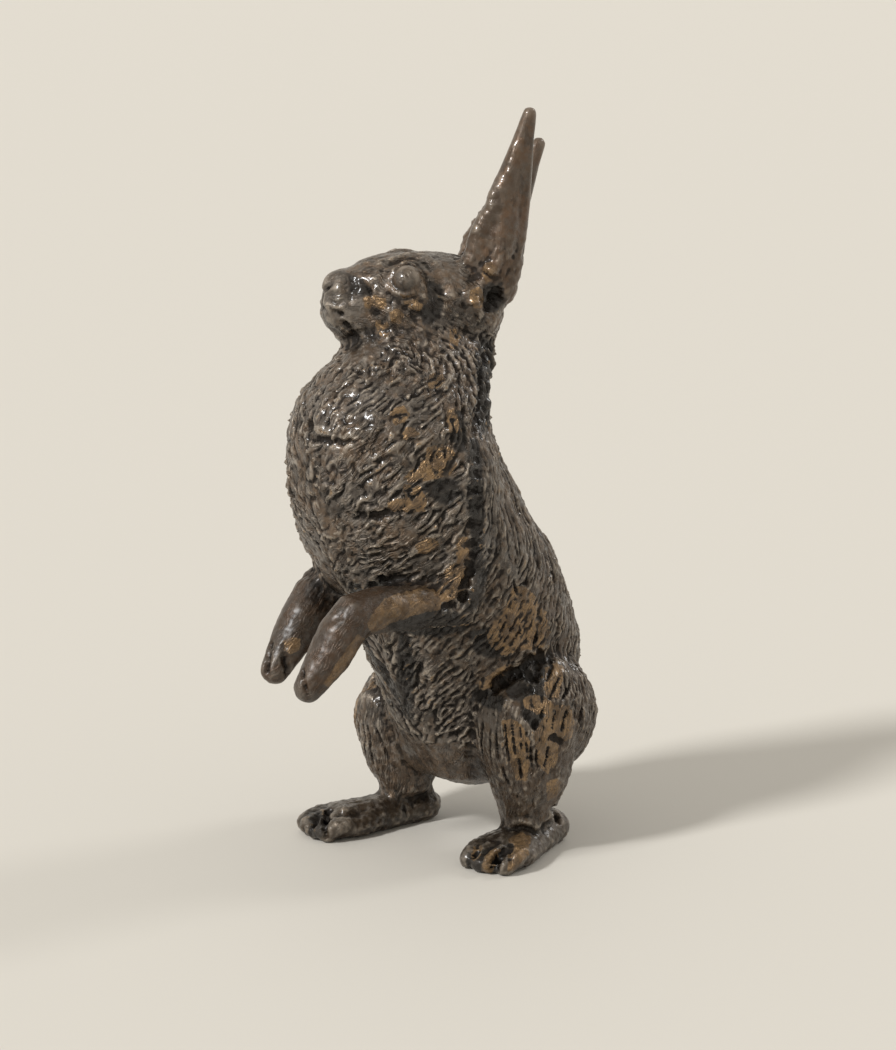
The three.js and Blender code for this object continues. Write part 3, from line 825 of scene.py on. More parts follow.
# Each lock is walked from its root to its tip, with a bend of its own
def growLocks(coat, tree, seeds, lockStep):
    places, tangents, shares, owners = [], [], [], []
    for number, seed in enumerate(seeds):
        length = coat["length"][seed] * dice.uniform(*lockShape["length"])
        wave = coat["wave"][seed]
        bend = dice.normal(0, lockShape["bend"]) * wave
        start = dice.uniform(0, 2 * math.pi)
        lean = dice.normal(0, lockShape["lean"]) * (lockShape["leastLean"] + wave)
        sway = lockShape["sway"] * wave
        steps = max(lockShape["leastSteps"], round(length / lockStep))
        point = coat["points"][seed] - coat["way"][seed] * length * lockShape["seedAt"]
        for k in range(steps + 1):
            near = tree.find(point)[1]
            way, normal = coat["way"][near], coat["normals"][near]
            swing = math.sin(start + lockShape["swayTurn"] * k / steps)
            turn = lean + bend * (k / steps - 0.5) + sway * swing
            way = way * math.cos(turn) + np.cross(normal, way) * math.sin(turn)
            point = point - normal * ((point - coat["points"][near]) @ normal)
            places.append(point)
            tangents.append(way)
            shares.append(k / steps)
            owners.append(number)
            point = point + way * lockStep
    return np.array(places), np.array(tangents), np.array(shares), np.array(owners)


# The nearest lock at each point: its ridge, the groove beside it, and where on the lock the point lies
def lockRelief(points, normals, places, tangents, shares, owners, lockStep):
    tree = KDTree(len(places))
    for k, place in enumerate(places.tolist()):
        tree.insert(place, k)
    tree.balance()
    found = np.array([[hit[1] for hit in tree.find_n(p, lockShape["neighbours"])]
                      for p in points.tolist()])
    best = np.full(len(points), np.inf)
    second = np.full(len(points), np.inf)
    nearest = np.zeros(len(points), int)
    lock = np.full(len(points), -1)
    reach = lockStep * lockShape["reach"]
    for column in found.T:
        away = points - places[column]
        along = np.clip((away * tangents[column]).sum(1), -reach, reach)
        gap = np.linalg.norm(away - along[:, None] * tangents[column], axis=1)
        gap /= 1 - lockShape["narrowing"] * shares[column] ** 2
        same = owners[column] == lock
        closer = gap < best
        taken = closer & ~same
        second = np.where(taken, best, second)
        second = np.where(~closer & ~same, np.minimum(second, gap), second)
        nearest = np.where(closer, column, nearest)
        best = np.minimum(best, gap)
        lock = np.where(taken, owners[column], lock)
    second = np.where(np.isinf(second), best + lockShape["alone"], second)
    edge = (second - best) / (second + best + 1e-6)
    away = points - places[nearest]
    across = (away * np.cross(normals, tangents[nearest])).sum(1)
    return edge, best, across, shares[nearest], lock


# Grows the locks of one size over the whole skin and gives their relief at the fine points
def lockLayer(coat, tree, fine, warp, lockStep):
    seeds = sowSeeds(coat["points"], coat["way"], coat["apart"], coat["length"])
    locks = growLocks(coat, tree, seeds, lockStep)
    edge, gap, across, share, lock = lockRelief(fine.points + warp, fine.normals, *locks, lockStep)
    chance = np.random.default_rng(len(seeds)).uniform(0, 1, len(seeds))[lock]
    report(f"{len(seeds)} locks grown")
    return edge, gap, across, share, chance


# Single cuts of a fine chisel through the worn patches, traced on the photograph
chiselCuts = {
    "torso": [
        [(505, 623), (502, 630), (499, 637)], [(517, 619), (511, 630), (505, 641)],
        [(527, 622), (519, 634), (511, 645)], [(538, 632), (536, 637), (534, 642)],
        [(518, 594), (516, 587), (514, 580)], [(534, 616), (532, 622), (530, 629)],
        [(518, 654), (513, 663), (508, 671)], [(511, 659), (508, 665), (504, 671)],
        [(524, 600), (521, 607), (518, 613)], [(541, 604), (539, 611), (537, 618)],
        [(434, 452), (431, 460)], [(446, 448), (445, 457)], [(420, 462), (415, 470)],
    ],
    "left_hind_leg": [
        [(520, 728), (521, 740), (522, 751)], [(526, 730), (527, 744), (528, 758)],
        [(531, 740), (531, 754), (532, 766)], [(537, 750), (537, 760), (538, 769)],
        [(512, 726), (513, 740), (515, 754)], [(519, 760), (520, 770), (521, 778)],
        [(505, 726), (506, 744), (509, 760)], [(496, 732), (496, 746), (498, 760)],
        [(490, 730), (489, 748), (491, 766)], [(560, 676), (555, 687), (550, 698)],
        [(570, 681), (566, 691), (562, 701)], [(576, 690), (574, 699), (571, 709)],
        [(582, 700), (581, 712), (580, 723)], [(552, 666), (550, 673), (547, 680)],
        [(545, 706), (542, 714), (539, 722)], [(556, 712), (554, 722), (553, 731)],
        [(566, 712), (564, 722), (562, 730)], [(548, 748), (547, 757), (545, 765)],
        [(483, 724), (481, 742), (483, 760)], [(502, 768), (505, 778), (509, 787)],
    ],
}
chiselling = {"radius": 0.27, "height": -0.42}


def chisel(work):
    tree = work.surface()
    for name, cuts in chiselCuts.items():
        far = "body" if name == "torso" else "haunch"
        for cut in cuts:
            corners = [seen(tree, pixel) for pixel in cut]
            corners = np.array([corner for corner in corners if corner is not None])
            if len(corners) > 1:
                stroke(work, walked(tree, corners), **chiselling)
                stroke(work, walked(tree, mirrored(corners, far)), **chiselling)
    work.findNormals()


# How much of the fur stays at each point, less than 1 at the smooth places
def smoothed(points):
    keep = np.ones(len(points))
    tree = work.surface()
    for spot in smoothSpots.values():
        place = seen(tree, spot["pixel"])
        other = mirrored(place[None], "head" if place[2] > headFloor else "body")[0]
        for middle in (place, other):
            gap = np.linalg.norm(points - middle, axis=1)
            keep = np.minimum(keep, spot["keep"] + (1 - spot["keep"]) * ease(*spot["reach"], gap))
    return keep


# What makes relief out of the locks, with lengths and heights in millimetres
fur = {
    "flowRounds": 10,
    "lockStep": 0.25, "tuftStep": 0.7,                              # as they are walked
    "bend": 0.11, "bendLength": 1.6, "tuftBend": 2.5,               # of their outlines
    "weakest": 0.3, "stronger": 0.9, "strengthBand": (-0.7, 0.6),   # their height comes and goes
    "strengthLengths": (2.8, 1.2), "secondWave": 0.6,
    "padPower": 2.4, "padLevel": 0.65, "crestWidth": 0.2, "crestLevel": 0.35,
    "tipLift": 0.35, "tipFrom": 0.4,
    "lowestLock": 0.35, "higherLock": 0.9, "wornOff": 0.65,
    "tuftPower": 2.6, "lowestTuft": 0.5, "higherTuft": 0.7,
    "tuftRoot": 0.2, "tuftTip": 0.8, "tuftLevel": 0.4,
    "swell": 0.11, "swellLength": 3.4, "swellHeight": 0.2, "lumpLength": 0.85,
    "furryHeight": 0.12, "leastShare": 0.12,
}


def combFur(rough, owner, fine, worn):
    shares = {}
    for name, share in coatShares(rough.points, owner).items():
        shares[name] = rough.blurred(share.astype(float), blur["shares"])
    coat = {"points": rough.points, "normals": rough.blurred(rough.normals, blur["normals"])}
    for column, key in enumerate(coatKeys):
        coat[key] = sum(shares[name] * coats[name][column] for name in coats)
    ways = furWays(rough.points, shares)
    for _ in range(fur["flowRounds"]):
        ways = laidDown(rough.blurred(ways, blur["flow"]), coat["normals"])
    coat["way"] = ways
    report("flow of the fur found")
    tree = rough.nearest()
    nearRough = np.array([tree.find(p)[1] for p in fine.points.tolist()])
    keep = smoothed(fine.points)
    height, tuft, lumps = [fine.blurred(coat[key][nearRough], blur["coat"]) * keep
                           for key in ("height", "tuft", "lumps")]
    crestShare = coat["crest"][nearRough]
    # The outlines of the locks are bent, and their height comes and goes
    warp = np.stack([ripple(fine.points, fur["bendLength"], seed) for seed in randomSeeds["bend"]], 1)
    warp = fur["bend"] * warp
    first, second = [ripple(fine.points, length, seed)
                     for length, seed in zip(fur["strengthLengths"], randomSeeds["strength"])]
    strength = ease(*fur["strengthBand"], first + fur["secondWave"] * second)
    strength = fur["weakest"] + fur["stronger"] * strength
    edge, gap, across, share, chance = lockLayer(coat, tree, fine, warp, fur["lockStep"])
    pads = 1 - (1 - edge) ** fur["padPower"]
    crests = np.exp(-(gap / fur["crestWidth"]) ** 2)
    profile = (1 - crestShare) * (pads - fur["padLevel"]) + crestShare * (crests - fur["crestLevel"])
    profile += fur["tipLift"] * (share - fur["tipFrom"]) * pads
    lift = height * (fur["lowestLock"] + fur["higherLock"] * chance) * strength
    lift = lift * (1 - fur["wornOff"] * worn) * profile
    larger = dict(coat)
    for key, value in tufts.items():
        larger[key] = np.full(len(rough.points), value)
    layer = lockLayer(larger, tree, fine, fur["tuftBend"] * warp, fur["tuftStep"])
    tuftEdge, _, _, tuftShare, tuftChance = layer
    tuftPads = 1 - (1 - tuftEdge) ** fur["tuftPower"]
    tuftPads = tuftPads * (fur["tuftRoot"] + fur["tuftTip"] * tuftShare) - fur["tuftLevel"]
    lift += tuft * (fur["lowestTuft"] + fur["higherTuft"] * tuftChance) * tuftPads
    swell = ripple(fine.points, fur["swellLength"], randomSeeds["swell"])
    lift += fur["swell"] * swell * np.clip(height / fur["swellHeight"], fur["leastShare"], 1)
    lift += lumps * ripple(fine.points, fur["lumpLength"], randomSeeds["lumps"])
    fine.points += fine.normals * lift[:, None]
    fine.findNormals()
    return {
        "across": across * keep,
        "tone": chance,
        "shelter": fine.blurred(roughShelter[nearRough], blur["fineShelter"]),
        "furry": np.clip(height / fur["furryHeight"], fur["leastShare"], 1),
    }


# A fine and a broad measure of standing out: what height counts as full, and how much each counts
hollowDepths = {"near": 0.035, "wide": 0.14, "nearShare": 0.6, "wideShare": 0.7}


# How far each point stands out from what is round it, or lies below it
def hollowsOf(work, furry):
    near, wide = [
        ((work.points - work.blurred(work.points, blur[key])) * work.normals).sum(1) / hollowDepths[key]
        for key in ("near", "wide")
    ]
    level = hollowDepths["nearShare"] * near * furry + hollowDepths["wideShare"] * wide
    level = work.blurred(level, blur["level"])
    return {"hollow": np.clip(-level, 0, 1), "crest": np.clip(level, 0, 1)}


# Where handling has worn the patina down to the metal, by casting, outlined in the photograph's pixels
# The torso, head, haunches and ears have the same wear on their other side
wornPatches = {
    "torso": {
        "shoulder": [
            (427, 448), (443, 443), (454, 450), (457, 466), (452, 477), (437, 479), (423, 482),
            (410, 484), (401, 480), (407, 473), (418, 466), (425, 459)],
        "neckSpot": [(430, 372), (440, 370), (447, 379), (438, 388), (431, 390), (427, 384)],
        "collarSpot": [(392, 409), (404, 406), (411, 414), (405, 422), (395, 425), (389, 417)],
        "breastSpot": [(404, 428), (414, 426), (420, 434), (411, 441), (400, 440)],
        "neckStreak": [(448, 408), (457, 406), (460, 420), (458, 433), (450, 435), (446, 422)],
        "armSpot": [(402, 484), (419, 485), (428, 499), (424, 512), (411, 515), (403, 505)],
        "armTop": [(388, 500), (406, 498), (424, 502), (422, 512), (402, 513), (388, 510)],
        "upperArm": [(415, 545), (424, 538), (436, 537), (441, 545), (434, 554), (420, 557)],
        "armBack": [
            (457, 538), (468, 536), (471, 560), (466, 590), (452, 603), (437, 601), (436, 584),
            (446, 568), (456, 562)],
        "flank": [
            (512, 588), (524, 586), (536, 596), (546, 612), (550, 632), (544, 648), (530, 650),
            (516, 652), (502, 656), (488, 644), (486, 630), (498, 616), (508, 602)],
        "flankEdge": [(478, 681), (492, 672), (508, 662), (514, 668), (504, 679), (490, 689), (479, 692)],
    },
    "left_hind_leg": {
        "haunchTop": [(545, 668), (555, 661), (565, 667), (562, 682), (559, 698), (549, 701), (544, 688)],
        "haunchSpot": [
            (522, 699), (532, 694), (546, 697), (556, 704), (550, 714), (536, 714), (524, 708)],
        "thighStreak": [
            (501, 720), (512, 718), (522, 724), (530, 742), (530, 768), (526, 782), (516, 780), (507, 758)],
        "haunchBack": [
            (534, 732), (544, 718), (556, 704), (570, 706), (577, 722), (572, 738), (560, 744),
            (558, 762), (548, 776), (538, 764), (534, 748)],
        "hock": [(546, 782), (556, 778), (562, 784), (556, 798), (547, 802)],
    },
    "left_foreleg": {
        "forearmEdge": [
            (386, 598), (400, 592), (420, 588), (444, 582), (462, 590), (462, 603), (440, 610),
            (410, 617), (388, 626), (372, 634), (366, 624), (374, 610)],
        "pawEdge": [
            (358, 634), (366, 640), (356, 656), (344, 672), (330, 688), (322, 684), (336, 664), (348, 646)],
    },
    "right_foreleg": {
        "farPaw": [(283, 642), (292, 636), (301, 639), (300, 650), (290, 654), (284, 650)],
    },
    "left_hind_foot": {
        "toeTwo": [(482, 868), (484, 856), (492, 848), (502, 850), (498, 862), (490, 876), (482, 877)],
        "toeOne": [(470, 858), (473, 847), (482, 845), (481, 854), (474, 862)],
        "instep": [(508, 838), (520, 832), (532, 836), (528, 856), (516, 870), (507, 872)],
    },
    "head": {
        "cheek": [(362, 298), (374, 294), (386, 298), (388, 308), (376, 313), (364, 308)],
        "cheekLow": [(388, 312), (398, 308), (405, 314), (401, 324), (391, 324)],
        "knob": [(471, 289), (480, 287), (486, 297), (482, 309), (474, 308), (469, 298)],
        "neckTuft": [(449, 328), (457, 327), (461, 338), (457, 350), (449, 349)],
        "jawSpot": [(374, 320), (386, 318), (392, 328), (387, 338), (377, 336)],
        "underEye": [(400, 294), (414, 296), (424, 304), (420, 312), (406, 308)],
    },
    "left_ear": {
        "earRoot": [(484, 262), (492, 260), (498, 268), (494, 280), (486, 284), (481, 274)],
    },
}

# Where the colour is painted nearly black: partly a black crust of patina, partly painted shade under the
# shoulder and arm, in the creases, in the ear opening and between the toes, outlined the same way
darkPatinaAndShadePatches = {
    "anywhere": {
        "underShoulder": [(417, 483), (436, 479), (458, 480), (464, 494), (450, 506), (430, 499)],
        "sideHollow": [
            (467, 438), (479, 436), (484, 480), (486, 520), (484, 552), (472, 560), (469, 500)],
        "armPit": [(470, 553), (482, 550), (488, 575), (482, 604), (468, 616), (462, 604), (471, 585)],
        "underArm": [(384, 612), (440, 607), (466, 613), (472, 628), (440, 638), (400, 634), (382, 624)],
        "flankCrust": [(470, 633), (486, 626), (503, 638), (512, 655), (494, 660), (474, 652)],
        "creaseTop": [
            (500, 682), (512, 670), (530, 661), (549, 657), (551, 668), (544, 688), (528, 702), (510, 700)],
        "creaseFront": [(518, 694), (541, 686), (547, 702), (545, 724), (533, 730), (522, 714)],
        "creaseLow": [(474, 684), (492, 690), (508, 698), (500, 712), (484, 706), (470, 700)],
        "bellyBand": [(398, 636), (411, 636), (417, 680), (412, 718), (402, 716), (395, 688)],
        "nape": [(476, 342), (492, 338), (495, 380), (491, 424), (482, 440), (474, 408)],
        "sideNeck": [(450, 412), (462, 410), (468, 432), (466, 452), (455, 450), (450, 432)],
        "eyeBall": [
            (392, 280), (396, 270), (405, 267), (414, 270), (418, 280), (413, 290), (404, 293), (395, 290)],
        "noseBack": [(349, 275), (362, 279), (373, 292), (362, 297), (350, 291)],
        "earBack": [(482, 283), (503, 283), (508, 300), (498, 314), (484, 313)],
        "cheekBack": [(428, 282), (440, 284), (444, 304), (436, 322), (424, 326), (420, 312), (428, 300)],
        "toes": [(466, 852), (500, 846), (504, 860), (494, 880), (466, 880)],
        "farToes": [(308, 812), (330, 808), (330, 822), (322, 840), (308, 838)],
    },
}

# How strong the ones are that aren't full, how soft their borders are, how far round an outline is looked,
# both in pixels, and how much a place has to face the camera to have them
patchLook = {"strength": {"eyeBall": 0.68}, "wornBorder": 3, "darkAndShadeBorder": 4, "margin": 5, "facing": 0.05}
oneSided = ("left_foreleg", "right_foreleg", "left_hind_foot", "right_hind_foot")
opposite = {name: name.replace("left", "right") if "left" in name else name.replace("right", "left")
            for name in castings}


def toPixels(points):
    away = points - eyePoint
    depth = -(away @ backWay)
    across = photo["width"] / 2 + photo["focal"] * (away @ rightWay) / depth
    down = photo["height"] / 2 - photo["focal"] * (away @ upWay) / depth
    return np.stack([across, down], 1)


# How far inside an outline each pixel lies, less than 0 outside it
def insideOutline(pixels, outline):
    corners = np.array(outline, float)
    inside = np.zeros(len(pixels), bool)
    gap = np.full(len(pixels), np.inf)
    x, y = pixels.T
    for a, b in zip(corners, np.roll(corners, -1, 0)):
        way = b - a
        share = np.clip(((pixels - a) @ way) / (way @ way), 0, 1)
        gap = np.minimum(gap, np.linalg.norm(pixels - a - share[:, None] * way, axis=1))
        crosses = (a[1] > y) != (b[1] > y)
        if a[1] != b[1]:
            inside ^= crosses & (x < a[0] + (y - a[1]) / (b[1] - a[1]) * way[0])
    return np.where(inside, gap, -gap)


def patchesOn(patches, points, normals, names, border):
    found = np.zeros(len(points))
    faces = (unit(eyePoint - points) * normals).sum(1) > patchLook["facing"]
    pixels = toPixels(points)
    for casting, outlines in patches.items():
        here = faces if casting == "anywhere" else faces & (names == casting)
        for name, outline in outlines.items():
            low = np.min(outline, 0) - patchLook["margin"]
            high = np.max(outline, 0) + patchLook["margin"]
            near = here & ((pixels > low) & (pixels < high)).all(1)
            share = ease(-border, border, insideOutline(pixels[near], outline))
            found[near] = np.maximum(found[near], share * patchLook["strength"].get(name, 1))
    return found


# The patches on the side that the photograph shows, and the same ones on the other side
def bothSides(patches, work, owner, border):
    names = np.array(castings)[owner]
    otherNames = np.array([opposite[name] for name in castings])[owner]
    shown = patchesOn(patches, work.points, work.normals, names, border)
    flip = np.array((-1, 1, 1))
    other = patchesOn(patches, work.points * flip, work.normals * flip, otherNames, border)
    other[np.isin(names, oneSided)] = 0
    headPoints = work.points - 2 * np.outer((work.points - headMiddle) @ headLeft, headLeft)
    headNormals = work.normals - 2 * np.outer(work.normals @ headLeft, headLeft)
    headOther = patchesOn(patches, headPoints, headNormals, names, border)
    return np.maximum(shown, np.where(names == "head", headOther, other))


fineOwner = castingOf(work.points)
report("castings told apart")
worn = bothSides(wornPatches, work, fineOwner, patchLook["wornBorder"])
grimeAndShade = bothSides(darkPatinaAndShadePatches, work, fineOwner, patchLook["darkAndShadeBorder"])
relief = combFur(rough, roughOwner, work, worn)
report("fur chased")
chisel(work)
work.points[:, 2] = np.maximum(work.points[:, 2], 0)  # the soles stay flat
work.findNormals()
relief.update(hollowsOf(work, relief.pop("furry")))
# The painted shade of the occlusion joins the traced patches of dark patina and painted shade
relief["grimeAndShade"] = np.maximum(grimeAndShade, relief.pop("shelter"))
report("hollows found")


# Only the patch round the surest point of each casting keeps its name, and the rest goes to its neighbours
def tidyOwners(work, owner):
    shares = work.blurred(np.eye(len(castings))[owner], blur["owners"])
    owner = shares.argmax(1)
    a, b = work.edges.T
    alike = owner[a] == owner[b]
    a, b = a[alike], b[alike]
    kept = np.zeros(len(owner), bool)
    kept[shares.argmax(0)] = True
    while True:
        new = kept[a] != kept[b]
        if not new.any():
            break
        kept[a[new]] = True
        kept[b[new]] = True
        a, b = a[~(kept[a] & kept[b])], b[~(kept[a] & kept[b])]
    while not kept.all():
        a, b = np.concatenate([work.edges, work.edges[:, ::-1]]).T
        step = kept[a] & ~kept[b]
        if not step.any():
            break
        owner[b[step]] = owner[a[step]]
        kept[b[step]] = True
    return owner


# Closes each joint of a piece with a fan of faces to the middle of its ring
def closeJoints(piece):
    mesh = bmesh.new()
    mesh.from_mesh(piece.data)
    left = {edge for edge in mesh.edges if edge.is_boundary}
    while left:
        ring, fresh = set(), {left.pop()}
        while fresh:
            ring |= fresh
            corners = {corner for edge in fresh for corner in edge.verts}
            fresh = {edge for corner in corners for edge in corner.link_edges if edge in left}
            left -= fresh
        corners = {corner for edge in ring for corner in edge.verts}
        middle = mesh.verts.new(sum((corner.co for corner in corners), Vector()) / len(corners))
        for edge in ring:
            loop = edge.link_loops[0]
            mesh.faces.new((loop.link_loop_next.vert, loop.vert, middle))
            edge.smooth = False
    mesh.to_mesh(piece.data)
    mesh.free()


# Parts the skin where the castings meet, and names each piece after its casting
def splitSkin(skin, work, owner):
    mesh = skin.data
    corners = np.empty(len(mesh.loops), np.int32)
    mesh.loops.foreach_get("vertex_index", corners)
    faceOwner = np.sort(owner[corners.reshape(-1, 4)], axis=1)[:, 1]
    mesh.materials.clear()
    for name in castings:
        mesh.materials.append(bpy.data.materials.new("casting " + name))
    mesh.polygons.foreach_set("material_index", faceOwner.astype(np.int32))
    mesh.polygons.foreach_set("use_smooth", np.ones(len(mesh.polygons), bool))
    only(skin)
    bpy.ops.object.mode_set(mode='EDIT')
    bpy.ops.mesh.select_all(action='SELECT')
    bpy.ops.mesh.separate(type='MATERIAL')
    bpy.ops.object.mode_set(mode='OBJECT')
    pieces = {}
    for piece in list(bpy.context.selected_objects):
        material = piece.data.materials[piece.data.polygons[0].material_index]
        name = material.name.removeprefix("casting ")
        pieces[name] = piece
        piece.name = piece.data.name = "chased_" + name
        closeJoints(piece)
    return pieces


# Thins a piece to a number of triangles, all but the rings of points beside its joints
def thin(piece, triangles):
    count = sum(len(face.vertices) - 2 for face in piece.data.polygons)
    if count <= triangles:
        return
    sharp = piece.data.attributes["sharp_edge"].data
    ring = {v for edge, mark in zip(piece.data.edges, sharp) if mark.value for v in edge.vertices}
    beside = {v for edge in piece.data.edges if ring & set(edge.vertices) for v in edge.vertices}
    free = [v.index for v in piece.data.vertices if v.index not in beside]
    group = piece.vertex_groups.new(name="free")
    group.add(free, 1, 'REPLACE')
    applied(piece, 'DECIMATE', ratio=triangles / count, vertex_group="free", vertex_group_factor=1)
    piece.vertex_groups.clear()


def keepValue(mesh, name, values):
    mesh.attributes.new(name, 'FLOAT', 'POINT').data.foreach_set("value", values.astype(np.float32))


mostTriangles = 196000   # in one piece
slots = {
    "left_ear": "bronze_ear", "right_ear": "bronze_ear",
    "left_foreleg": "bronze_paw", "right_foreleg": "bronze_paw",
    "left_hind_foot": "bronze_foot", "right_hind_foot": "bronze_foot",
}
owner = tidyOwners(work, fineOwner)
for key, values in {"worn": worn, **relief}.items():
    keepValue(skin.data, key, values)
skin.data.transform(Matrix.Scale(mm, 4))
pieces = splitSkin(skin, work, owner)
report("castings parted")
for name, piece in pieces.items():
    thin(piece, mostTriangles)
    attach(piece, "root")
    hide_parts(name)
    triangles = sum(len(face.vertices) - 2 for face in piece.data.polygons)
    print(f"  {piece.name}: {triangles} triangles")
report("pieces ready")


# Materials
def newTree(name, inputs, outputs):
    tree = bpy.data.node_groups.new(name, 'ShaderNodeTree')
    for socketName, kind, value in inputs:
        socket = tree.interface.new_socket(socketName, in_out='INPUT', socket_type=kind)
        socket.default_value = value
    for socketName, kind in outputs:
        tree.interface.new_socket(socketName, in_out='OUTPUT', socket_type=kind)
    return tree, tree.nodes.new('NodeGroupInput').outputs, tree.nodes.new('NodeGroupOutput').inputs


def put(tree, socket, value):
    if isinstance(value, bpy.types.NodeSocket):
        tree.links.new(value, socket)
    else:
        socket.default_value = value


def sums(tree, operation, *values):
    node = tree.nodes.new('ShaderNodeMath')
    node.operation = operation
    for socket, value in zip(node.inputs, values):
        put(tree, socket, value)
    return node.outputs[0]


def times(tree, first, second):
    return sums(tree, 'MULTIPLY', first, second)


def plus(tree, first, second):
    return sums(tree, 'ADD', first, second)


def step(tree, value, low, high, lowOut=0, highOut=1):
    node = tree.nodes.new('ShaderNodeMapRange')
    node.interpolation_type = 'SMOOTHSTEP'
    for socket, number in zip(node.inputs, (value, low, high, lowOut, highOut)):
        put(tree, socket, number)
    return node.outputs[0]


# A mix node's two colours are its inputs 6 and 7, and the mixed colour is its output 2
def mixed(tree, share, first, second):
    node = tree.nodes.new('ShaderNodeMix')
    node.data_type = 'RGBA'
    put(tree, node.inputs[0], share)
    put(tree, node.inputs[6], first)
    put(tree, node.inputs[7], second)
    return node.outputs[2]


def objectPlace(tree):
    return tree.nodes.new('ShaderNodeTexCoord').outputs['Object']


# Noise about as broad as its size in millimetres
def noise(tree, size, detail=3, rough=0.55, stretch=(1, 1, 1)):
    mapping = tree.nodes.new('ShaderNodeMapping')
    mapping.inputs['Scale'].default_value = stretch
    put(tree, mapping.inputs['Vector'], objectPlace(tree))
    node = tree.nodes.new('ShaderNodeTexNoise')
    put(tree, node.inputs['Vector'], mapping.outputs[0])
    put(tree, node.inputs['Scale'], 1 / (size * mm))
    put(tree, node.inputs['Detail'], detail)
    put(tree, node.inputs['Roughness'], rough)
    return node.outputs[0]


def attribute(tree, name):
    node = tree.nodes.new('ShaderNodeAttribute')
    node.attribute_name = name
    return node.outputs['Fac']


# The patina's noise: size in millimetres, detail and roughness
patinaNoise = {
    "broad": (6, 3), "fine": (0.7, 4, 0.6), "grain": (0.22, 3, 0.6), "patches": (2.6, 3), "hairs": (1.2, 2),
    "rubbed": (0.9, 2), "flecks": (0.9, 3), "deepGold": (1.5, 3),
}

# Where each mark of the patina begins and is full, and what it gives at both ends if not 0 and 1
patinaSteps = {
    "mottle": (0.42, 0.58),
    "lockTone": (0.2, 1, 0, 0.5),
    "patches": (0.5, 0.58),
    "umberAndShade": (20 * mm, 6 * mm, 0, 0.7),
    "hairs": (-0.2, 1),
    "hairBreaks": (0.35, 0.6, 0.2, 1),
    "crests": (0.3, 0.95),
    "crestBreaks": (0.36, 0.6, 0.2, 1),
    "dust": (0.5, 0.72),
    "dustGrain": (0.35, 0.6),
    "sootAndShade": (0.3, 1.0, 0, 0.9),
    "sootAndShadeEdge": (0, 0.25),
    "gold": (0.8, 1.2),
    "goldEdge": (0.05, 0.35),
    "flecks": (0.57, 0.63),
    "fleckRidges": (0.7, 0.95),
    "goldGrooves": (0.5, 0.1),
    "deepGold": (0.44, 0.6, 0, 0.8),
    "goldGrain": (0.35, 0.65, 0, 0.4),
    "grooves": (0.08, 0.75, 0, 0.92),
    "grooveBreaks": (0.3, 0.6, 0.7, 1),
    "metal": (0, 1, 0.3, 0.65),
    "roughness": (0.3, 0.7, 0.3, 0.5),
    "coat": (0.35, 0.6, 0.2, 0.65),
}

# How much each measure counts in the marks that several of them make up
patinaShares = {
    "broad": 0.6, "fine": 0.4, "patches": 0.7, "patchFine": 0.3, "sootAndShadeFine": 0.5, "sootAndShadeRidge": 0.35,
    "worn": 1.5, "wornRidge": 0.3, "wornFine": 2.0, "wornTone": 0.3, "goldHairs": 0.9,
    "grooveRoughness": 0.25,
}

# The middle of the painted browner shade on the rabbit's left haunch and flank, in metres
umberShadeMiddle = (13 * mm, 12 * mm, 16 * mm)

# The hair lines along the locks: how wide in the patina and in the relief, in millimetres, how much they
# wander, how much each lock shifts them, and where the relief's are broken off
hairLines = {
    "patinaWidth": 0.31, "reliefWidth": 0.28, "wander": 0.5, "shift": 6,
    "breakNoise": (1.6, 2), "breaks": (0.35, 0.6),
}
pitNoise = {"coarse": (0.35, 4, 0.65), "fine": (0.12, 2), "fineShare": 0.5}


def stepped(tree, value, name):
    return step(tree, value, *patinaSteps[name])
